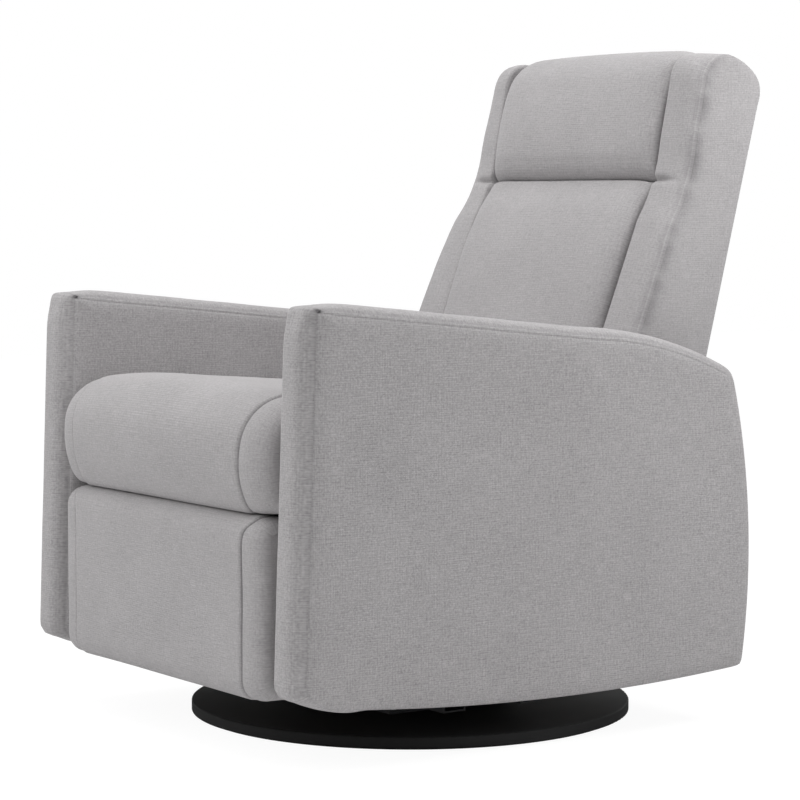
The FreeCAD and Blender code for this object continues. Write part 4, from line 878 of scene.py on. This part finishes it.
def lumbar(finish):
    """The lower back cushion: a straight leaning face, crowned across, whose sides roll down into
    the bolster seams and whose top rolls into the crease under the headrest."""
    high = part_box("lumbar_cushion")[1]
    half = high[0] - CUSHION_END_GAP
    loop = Loop(LUMBAR_FOOT, [
        (LUMBAR_KINK_FOOT,),
        (LUMBAR_KINK, LUMBAR_TOP),
        (LUMBAR_TOP_REAR,),
        (LUMBAR_REAR_FOOT,),
    ], LUMBAR_CORNER)
    top = loop.find(LUMBAR_TOP)
    runs = loop.runs(near=[top])
    across = spaced(-half, half, BACK_STEP, near=(-half, half), reach=CUSHION_REACH)
    front = window(runs, LUMBAR_FOOT_FADE, around(top, LUMBAR_EDGE_FADE))[None, :]

    def swell(run, x):
        share = abs(x) / half
        height = np.clip(run / top, 0, 1)
        crown = LUMBAR_CROWN * (1 - share ** CUSHION_CROWN_POWER) * np.sin(np.pi * height)
        fade = 1 - LUMBAR_TOP_FADE * smooth_step(top - LUMBAR_FADE_LENGTH, top, run)
        side = CUSHION_EDGE + CUSHION_RISE * (1 - rolled(half - abs(x), CUSHION_ROLL)) * fade
        uneven = CUSHION_UNEVEN * ripple(run + LUMBAR_UNEVEN_SKEW * x, LUMBAR_UNEVEN_LENGTH, phase=1.9)
        return (crown + side + uneven) * front

    # Painted shade along the rolled sides and in the crease under the headrest
    def seam(run, x):
        edge = LUMBAR_SIDE_MARK * bell(half - abs(x), SOFT_LINE) * front
        return edge + CREASE_MARK * bell(run - top - CREASE_INSET, SOFT_LINE)

    piece = shell("lower_back_padding", loop, runs, across, 0.0, swell, LUMBAR_SPINE, seam)
    dress(piece, "backrest", "lumbar_cushion", finish)


def pillow(finish):
    """The headrest: crowned across, fullest low down where it hangs over the crease, and rolled over
    the top of the back."""
    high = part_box("headrest_pillow")[1]
    half = high[0] - CUSHION_END_GAP
    loop = Loop(PILLOW_FOOT, [
        (PILLOW_CHIN_BEND, PILLOW_CHIN),
        (PILLOW_CHEEK, PILLOW_BROW),
        (PILLOW_CREST, PILLOW_TOP_REAR),
        (PILLOW_REAR_BEND, PILLOW_REAR),
        (PILLOW_REAR_FOOT,),
        (PILLOW_SHELF,),
        (PILLOW_BACK_FOOT,),
    ], PILLOW_CORNER)
    chin = loop.find(PILLOW_CHIN)
    rear = loop.find(PILLOW_REAR_BEND)
    runs = loop.runs(near=[0.0, loop.length])
    across = spaced(-half, half, BACK_STEP, near=(-half, half), reach=CUSHION_REACH)
    rise = [share * chin for share in PILLOW_CHIN_FADE]
    fall = around(rear, PILLOW_REAR_FADE)
    shown = window(runs, rise, fall)
    upward = np.clip(loop.normal(runs).imag, 0, 1)
    over_top = (smooth_step(*PILLOW_OVER_TOP, upward) * (1 - smooth_step(*fall, runs)))[None, :]
    shown = (shown * (1 - (1 - PILLOW_TOP_SHARE) * upward))[None, :]

    def swell(run, x):
        share = abs(x) / half
        crown = PILLOW_CROWN * (1 - share ** CUSHION_CROWN_POWER)
        side = CUSHION_EDGE + CUSHION_RISE * (1 - rolled(half - abs(x), CUSHION_ROLL))
        uneven = CUSHION_UNEVEN * ripple(run + PILLOW_UNEVEN_SKEW * x, PILLOW_UNEVEN_LENGTH, phase=0.5)
        groove = PILLOW_TOP_GROOVE * rolled(half - abs(x), PILLOW_TOP_ROLL) * over_top
        return (crown + side + uneven) * shown - groove

    # Painted shade along the rolled sides and at the foot, in the crease over the lower back cushion
    def seam(run, x):
        edge = PILLOW_SIDE_MARK * bell(half - abs(x), SOFT_LINE) * shown
        return edge + PILLOW_FOOT_MARK * bell(np.minimum(run, loop.length - run), PILLOW_FOOT_LINE)

    piece = shell("headrest_padding", loop, runs, across, 0.0, swell, PILLOW_SPINE, seam)
    dress(piece, "backrest", "headrest_pillow", finish)


# Rear panels

def back_panel(finish):
    """The flat covered panel behind the back, slightly crowned, with a turned-in edge all round."""
    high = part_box("back_panel")[1]
    half = high[0] - PANEL_END_GAP
    loop = Loop(PANEL_FOOT, [
        (PANEL_TOP,),
        ((PANEL_TOP[0] - PANEL_SKIN, PANEL_TOP[1] + PANEL_SLANT),),
        ((PANEL_FOOT[0] - PANEL_SKIN, PANEL_FOOT[1] + PANEL_SLANT),),
    ], PANEL_CORNER)
    top = loop.find(PANEL_TOP)
    runs = loop.runs(near=[0.0, top, loop.length])
    across = spaced(-half, half, PANEL_STEP, near=(-half, half))
    rear = window(runs, (0.0, PANEL_FADE), (top - PANEL_FADE, top))[None, :]

    def swell(run, x):
        share = abs(x) / half
        crown = PANEL_CROWN * (1 - share ** PANEL_CROWN_POWER)
        return (crown - PANEL_EDGE_DROP * rolled(half - abs(x), PANEL_EDGE_ROLL)) * rear

    # Painted shade along the turned-in side edges
    def seam(run, x):
        return PANEL_EDGE_MARK * bell(half - abs(x), SOFT_LINE) * rear

    spine = [(place[0] - PANEL_SKIN / 2, place[1]) for place in (PANEL_FOOT, PANEL_TOP)]
    piece = shell("back_panel_cover", loop, runs, across, 0.0, swell, spine, seam)
    dress(piece, "backrest", "back_panel", finish)


def rear_pad(finish):
    """The padded panel between the arms behind the seat, crowned and rolled at its edges."""
    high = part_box("rear_pad")[1]
    half = high[0] - REAR_PAD_END_GAP
    loop = Loop((REAR_PAD_FRONT, REAR_PAD_FOOT), [
        ((REAR_PAD_BACK, REAR_PAD_FOOT),),
        ((REAR_PAD_BACK, REAR_PAD_TOP),),
        ((REAR_PAD_FRONT, REAR_PAD_TOP),),
    ], REAR_PAD_CORNER)
    foot = loop.find((REAR_PAD_BACK, REAR_PAD_FOOT))
    top = loop.find((REAR_PAD_BACK, REAR_PAD_TOP))
    runs = loop.runs()
    across = spaced(-half, half, PANEL_STEP, near=(-half, half))
    rear = window(runs, around(foot, REAR_PAD_FOOT_FADE), around(top, REAR_PAD_TOP_FADE))[None, :]

    def swell(run, x):
        return (REAR_PAD_CROWN - REAR_PAD_EDGE_DROP * rolled(half - abs(x), REAR_PAD_EDGE_ROLL)) * rear

    # Painted shade along the rolled side edges
    def seam(run, x):
        return REAR_PAD_EDGE_MARK * bell(half - abs(x), SOFT_LINE) * rear

    middle = (REAR_PAD_FRONT + REAR_PAD_BACK) / 2
    ends = (REAR_PAD_FOOT + REAR_PAD_SPINE_INSET, REAR_PAD_TOP - REAR_PAD_SPINE_INSET)
    spine = [(middle, height) for height in ends]
    piece = shell("rear_padding", loop, runs, across, 0.0, swell, spine, seam)
    dress(piece, "chair", "rear_pad", finish)


# Finishes

class Value:
    """A socket of a node tree. Arithmetic on it adds Math nodes."""

    def __init__(self, nodes, socket):
        self.nodes = nodes
        self.socket = socket

    def math(self, operation, *values):
        return self.nodes.node("ShaderNodeMath", {"operation": operation}, dict(enumerate(values)))

    def __add__(self, other):
        return self.math("ADD", self, other)

    def __sub__(self, other):
        return self.math("SUBTRACT", self, other)

    def __rsub__(self, other):
        return self.math("SUBTRACT", other, self)

    def __mul__(self, other):
        return self.math("MULTIPLY", self, other)

    def sine(self):
        return self.math("SINE", self)

    def limited(self):
        return self.nodes.node("ShaderNodeClamp", {}, {0: self})

    __radd__ = __add__
    __rmul__ = __mul__


class Nodes:
    """A node tree and the one method that adds nodes to it."""

    def __init__(self, tree):
        self.tree = tree

    def node(self, kind, settings, values, output=0):
        node = self.tree.nodes.new(kind)
        for key, setting in settings.items():
            setattr(node, key, setting)
        for key, value in values.items():
            self.join(node.inputs[key], value)
        return Value(self, node.outputs[output])

    def join(self, socket, value):
        if isinstance(value, Value):
            self.tree.links.new(value.socket, socket)
        else:
            socket.default_value = value


class Finish(Nodes):
    """A material, with short names for the nodes that its patterns are made of."""

    def __init__(self, name):
        self.material = bpy.data.materials.new(name)
        self.material.use_nodes = True
        super().__init__(self.material.node_tree)
        self.shader = self.tree.nodes["Principled BSDF"]

    def set(self, **values):
        """Sets or links inputs of the shader, with _ for a space in their names."""
        for key, value in values.items():
            self.join(self.shader.inputs[key.replace("_", " ")], value)

    def mix(self, share, low, high):
        """A colour between two colours."""
        low, high = [end if isinstance(end, Value) else (*end, 1) for end in (low, high)]
        return self.node("ShaderNodeMix", {"data_type": "RGBA"}, {0: share, 6: low, 7: high}, 2)

    def place(self):
        return self.node("ShaderNodeTexCoord", {}, {}, "Object")

    def first_two(self, vector):
        """The x and the y of a vector."""
        first = self.node("ShaderNodeSeparateXYZ", {}, {0: vector})
        return first, Value(self, first.socket.node.outputs[1])

    def stretched(self, vector, scale):
        return self.node("ShaderNodeVectorMath", {"operation": "MULTIPLY"}, {0: vector, 1: scale})

    def noise(self, vector, scale, detail=2.0):
        return self.node("ShaderNodeTexNoise", {}, {"Vector": vector, "Scale": scale, "Detail": detail})

    def bump(self, height, strength, distance):
        values = {"Strength": strength, "Distance": distance, "Height": height}
        return self.node("ShaderNodeBump", {}, values)


def woven_cloth(name, contrast):
    """Plain weave of slubby yarn: two sets of sine threads, with streaks along the weft, specks
    and soft larger unevenness. The seam mask paints shade into seam valleys, creases and notches
    and, below 0, shows pale stitches."""
    finish = Finish(name)
    cloth = finish.node("ShaderNodeUVMap", {"uv_map": "cloth"}, {})
    across, along = finish.first_two(cloth)
    wobble = finish.noise(cloth, WOBBLE_SCALE) - 0.5
    weft = ((along + wobble * THREAD_WOBBLE) * (2 * math.pi / THREAD_PITCH)).sine()
    warp = ((across + wobble * THREAD_WOBBLE) * (2 * math.pi / (WARP_SHARE * THREAD_PITCH))).sine()
    streak = finish.noise(finish.stretched(cloth, STREAK_STRETCH), 1.0, 3.0) - 0.5
    thread = finish.noise(finish.stretched(cloth, THREAD_STRETCH), 1.0, 2.0) - 0.5
    speck = finish.noise(cloth, SPECK_SCALE, 3.0) - 0.5
    cloud = finish.noise(finish.place(), CLOUD_SCALE, 2.0) - 0.5
    yarn = streak * 0.75 + thread * 0.6 + speck * 1.25 + weft * 0.06 + warp * 0.04
    share = 0.5 + yarn * contrast + cloud * 0.25
    colour = finish.mix(share.limited(), CLOTH_DARK, CLOTH_LIGHT)
    seam = finish.node("ShaderNodeAttribute", {"attribute_name": "seam"}, {}, "Fac")
    colour = finish.mix((seam * -1.0).limited(), colour, CLOTH_STITCH)
    # Painted shade in seam valleys, creases and notches, from the seam mask
    colour = finish.mix(seam.limited() * 0.9, colour, CLOTH_SEAM_SHADE)
    height = weft * 0.5 + warp * 0.3 + weft * warp * 0.4 + streak * 1.6 + speck * 0.8
    finish.set(Base_Color=colour, Roughness=0.93, Sheen_Weight=0.18, Sheen_Roughness=0.45)
    finish.set(Specular_IOR_Level=0.25, Normal=finish.bump(height, 0.22, 0.35 * MM))
    return finish.material


def painted_disc():
    """Satin black paint over a flat board: a fine orange-peel surface and faint rubbed patches."""
    finish = Finish("satin black paint")
    place = finish.place()
    patch = finish.noise(place, 14.0, 4.0)
    peel = finish.noise(place, 420.0, 2.0)
    finish.set(Base_Color=finish.mix(patch, *PAINT_SHADES))
    finish.set(Roughness=0.64 + patch * 0.12, Specular_IOR_Level=0.15)
    finish.set(Normal=finish.bump(peel, 0.12, 0.3 * MM))
    return finish.material


def powder_coat():
    """Black powder coat: a pebbled surface with slightly worn, greyer patches."""
    finish = Finish("black powder coat")
    place = finish.place()
    pebble = finish.noise(place, 900.0, 2.0)
    wear = finish.noise(place, 22.0, 5.0)
    finish.set(Base_Color=finish.mix(wear, *POWDER_SHADES))
    finish.set(Roughness=0.5 + wear * 0.2, Normal=finish.bump(pebble, 0.25, 0.3 * MM))
    return finish.material


def zinc_plate():
    """Zinc plated steel: bright metal with cloudy, slightly yellow patches and fine drawn lines."""
    finish = Finish("zinc plated steel")
    place = finish.place()
    cloud = finish.noise(place, 60.0, 3.0)
    lines = finish.noise(finish.stretched(place, (90.0, 1600.0, 1600.0)), 1.0, 2.0)
    finish.set(Base_Color=finish.mix(cloud, *ZINC_SHADES), Metallic=1.0)
    finish.set(Roughness=0.26 + cloud * 0.2, Normal=finish.bump(lines, 0.15, 0.1 * MM))
    return finish.material


def planed_wood():
    """Planed hardwood: long grain along x and y, broken by finer pores."""
    finish = Finish("planed hardwood")
    place = finish.place()
    grain = finish.noise(finish.stretched(place, (4.0, 9.0, 70.0)), 1.0, 6.0)
    pores = finish.noise(finish.stretched(place, (60.0, 120.0, 900.0)), 1.0, 2.0)
    share = (grain * 1.5 + pores * 0.4 - 0.5).limited()
    finish.set(Base_Color=finish.mix(share, *WOOD_SHADES))
    finish.set(Roughness=0.55 + pores * 0.25, Normal=finish.bump(grain + pores * 0.5, 0.2, 0.4 * MM))
    return finish.material


def moulded(name, shades, roughness, grain):
    """A moulded material: fine even grain, with a faint change of shade."""
    finish = Finish(name)
    place = finish.place()
    fine = finish.noise(place, grain, 2.0)
    shade = finish.noise(place, 30.0, 3.0)
    finish.set(Base_Color=finish.mix(shade, *shades))
    finish.set(Roughness=roughness + fine * 0.12, Normal=finish.bump(fine, 0.2, 0.25 * MM))
    return finish.material


def furniture_webbing():
    """Elastic webbing: fine black ribs across the strap and two paler stripes along it."""
    finish = Finish("elastic webbing")
    place = finish.place()
    across, along = finish.first_two(place)
    rib = (along * (2 * math.pi / WEBBING_RIB)).sine()
    stripe = ((across * (2 * math.pi / WEBBING_STRIPE)).sine() * 4.0).limited()
    fuzz = finish.noise(place, 700.0, 2.0)
    finish.set(Base_Color=finish.mix(stripe * 0.5 + fuzz * 0.3, *WEBBING_SHADES))
    finish.set(Roughness=0.8 + fuzz * 0.1, Normal=finish.bump(rib, 0.4, 0.4 * MM))
    return finish.material


def hard_finishes():
    """The finish of each material slot that isn't upholstery."""
    return {
        "frame_wood": planed_wood(),
        "mechanism_steel": powder_coat(),
        "bright_steel": zinc_plate(),
        "base_black": painted_disc(),
        "rubber_black": moulded("black rubber", RUBBER_SHADES, roughness=0.7, grain=600.0),
        "nylon": moulded("natural nylon", NYLON_SHADES, roughness=0.42, grain=300.0),
        "webbing": furniture_webbing(),
        "grip_black": moulded("grained black plastic", PLASTIC_SHADES, roughness=0.48, grain=800.0),
    }


def finish_hard_nodes(finishes):
    """Gives each CAD node that stays the finish of its material slot."""
    for part in frame["record"]["subparts"]:
        if part["material_slot"] in finishes:
            node = frame["nodes"][part["node"]]
            node.data.materials.clear()
            node.data.materials.append(finishes[part["material_slot"]])


def springs():
    """The coil springs, whose feet stand on the turning base and whose tops the rocking chair presses
    on: a copy of their solid with its placement baked in, shown in place of it."""
    node = frame["nodes"]["rocker_springs"]
    mesh = node.data.copy()
    mesh.transform(node.matrix_world)
    piece = bpy.data.objects.new("rocker_coil_springs", mesh)
    bpy.context.scene.collection.objects.link(piece)
    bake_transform(piece)
    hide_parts("rocker_springs")


# Stage

def area_light(name, place, target, size, power):
    """A round lamp that points at a target and isn't seen itself."""
    lamp = bpy.data.lights.new(name, "AREA")
    lamp.shape = "DISK"
    lamp.size = size
    lamp.energy = power
    holder = bpy.data.objects.new(name, lamp)
    holder.location = place
    holder.visible_camera = False
    aim = np.array(target) - np.array(place)
    yaw = math.atan2(aim[1], aim[0]) - math.pi / 2
    tilt = math.atan2(aim[2], math.hypot(aim[0], aim[1]))
    holder.rotation_euler = (math.pi / 2 + tilt, 0.0, yaw)
    bpy.context.scene.collection.objects.link(holder)


def pale_floor():
    """A plain white floor that keeps the shadow, lifted to white where only the camera sees it."""
    mesh = bpy.data.meshes.new("floor")
    corners = [(FLOOR_HALF * x, FLOOR_HALF * y, 0) for x, y in ((-1, -1), (1, -1), (1, 1), (-1, 1))]
    mesh.from_pydata(corners, [], [(0, 1, 2, 3)])
    floor = bpy.data.objects.new("floor", mesh)
    bpy.context.scene.collection.objects.link(floor)
    finish = Finish("pale floor")
    finish.set(Base_Color=(FLOOR_SHADE, FLOOR_SHADE, FLOOR_SHADE, 1), Roughness=0.9, Specular_IOR_Level=0.0)
    path = finish.node("ShaderNodeLightPath", {}, {}, "Is Camera Ray")
    white = finish.node("ShaderNodeEmission", {}, {"Color": (1, 1, 1, 1), "Strength": FLOOR_GLOW})
    shader = Value(finish, finish.shader.outputs[0])
    mixed = finish.node("ShaderNodeMixShader", {}, {0: path * FLOOR_GLOW_SHARE, 1: shader, 2: white})
    finish.join(finish.tree.nodes["Material Output"].inputs["Surface"], mixed)
    mesh.materials.append(finish.material)


def white_world():
    """An even white surrounding: soft light on the object and plain white behind it."""
    world = bpy.data.worlds.new("studio")
    bpy.context.scene.world = world
    world.use_nodes = True
    nodes = Nodes(world.node_tree)
    soft = nodes.tree.nodes["Background"]
    nodes.join(soft.inputs["Color"], (1, 1, 1, 1))
    nodes.join(soft.inputs["Strength"], WORLD_LIGHT)
    seen = nodes.node("ShaderNodeBackground", {}, {"Color": (1, 1, 1, 1)})
    shown = nodes.node("ShaderNodeLightPath", {}, {}, "Is Camera Ray")
    for ray in ("Is Glossy Ray", "Is Transmission Ray"):
        shown = shown.math("MAXIMUM", shown, nodes.node("ShaderNodeLightPath", {}, {}, ray))
    mixed = nodes.node("ShaderNodeMixShader", {}, {0: shown, 1: Value(nodes, soft.outputs[0]), 2: seen})
    nodes.join(nodes.tree.nodes["World Output"].inputs["Surface"], mixed)


def photo_camera():
    """The camera at the photograph's viewing angle."""
    camera = bpy.data.objects.new("camera", bpy.data.cameras.new("camera"))
    camera.location = CAMERA_PLACE
    camera.rotation_euler = [math.radians(angle) for angle in CAMERA_TURN]
    camera.data.lens = CAMERA_LENS
    camera.data.sensor_width = SENSOR
    camera.data.sensor_fit = "HORIZONTAL"
    camera.data.clip_end = CAMERA_REACH
    bpy.context.scene.collection.objects.link(camera)
    bpy.context.scene.camera = camera


def main():
    bpy.context.scene.view_settings.view_transform = "Standard"
    photo_camera()
    pale_floor()
    white_world()
    for light in LIGHTS:
        area_light(*light)
    frame_cloth = woven_cloth("woven cloth on the frame", FRAME_CONTRAST)
    cushion_cloth = woven_cloth("woven cloth on the cushions", CUSHION_CONTRAST)
    for side in (1, -1):
        arm(side, frame_cloth)
        bolster(side, cushion_cloth)
    seat(cushion_cloth)
    footrest(cushion_cloth)
    lumbar(cushion_cloth)
    pillow(cushion_cloth)
    back_panel(frame_cloth)
    rear_pad(frame_cloth)
    finish_hard_nodes(hard_finishes())
    springs()


main()
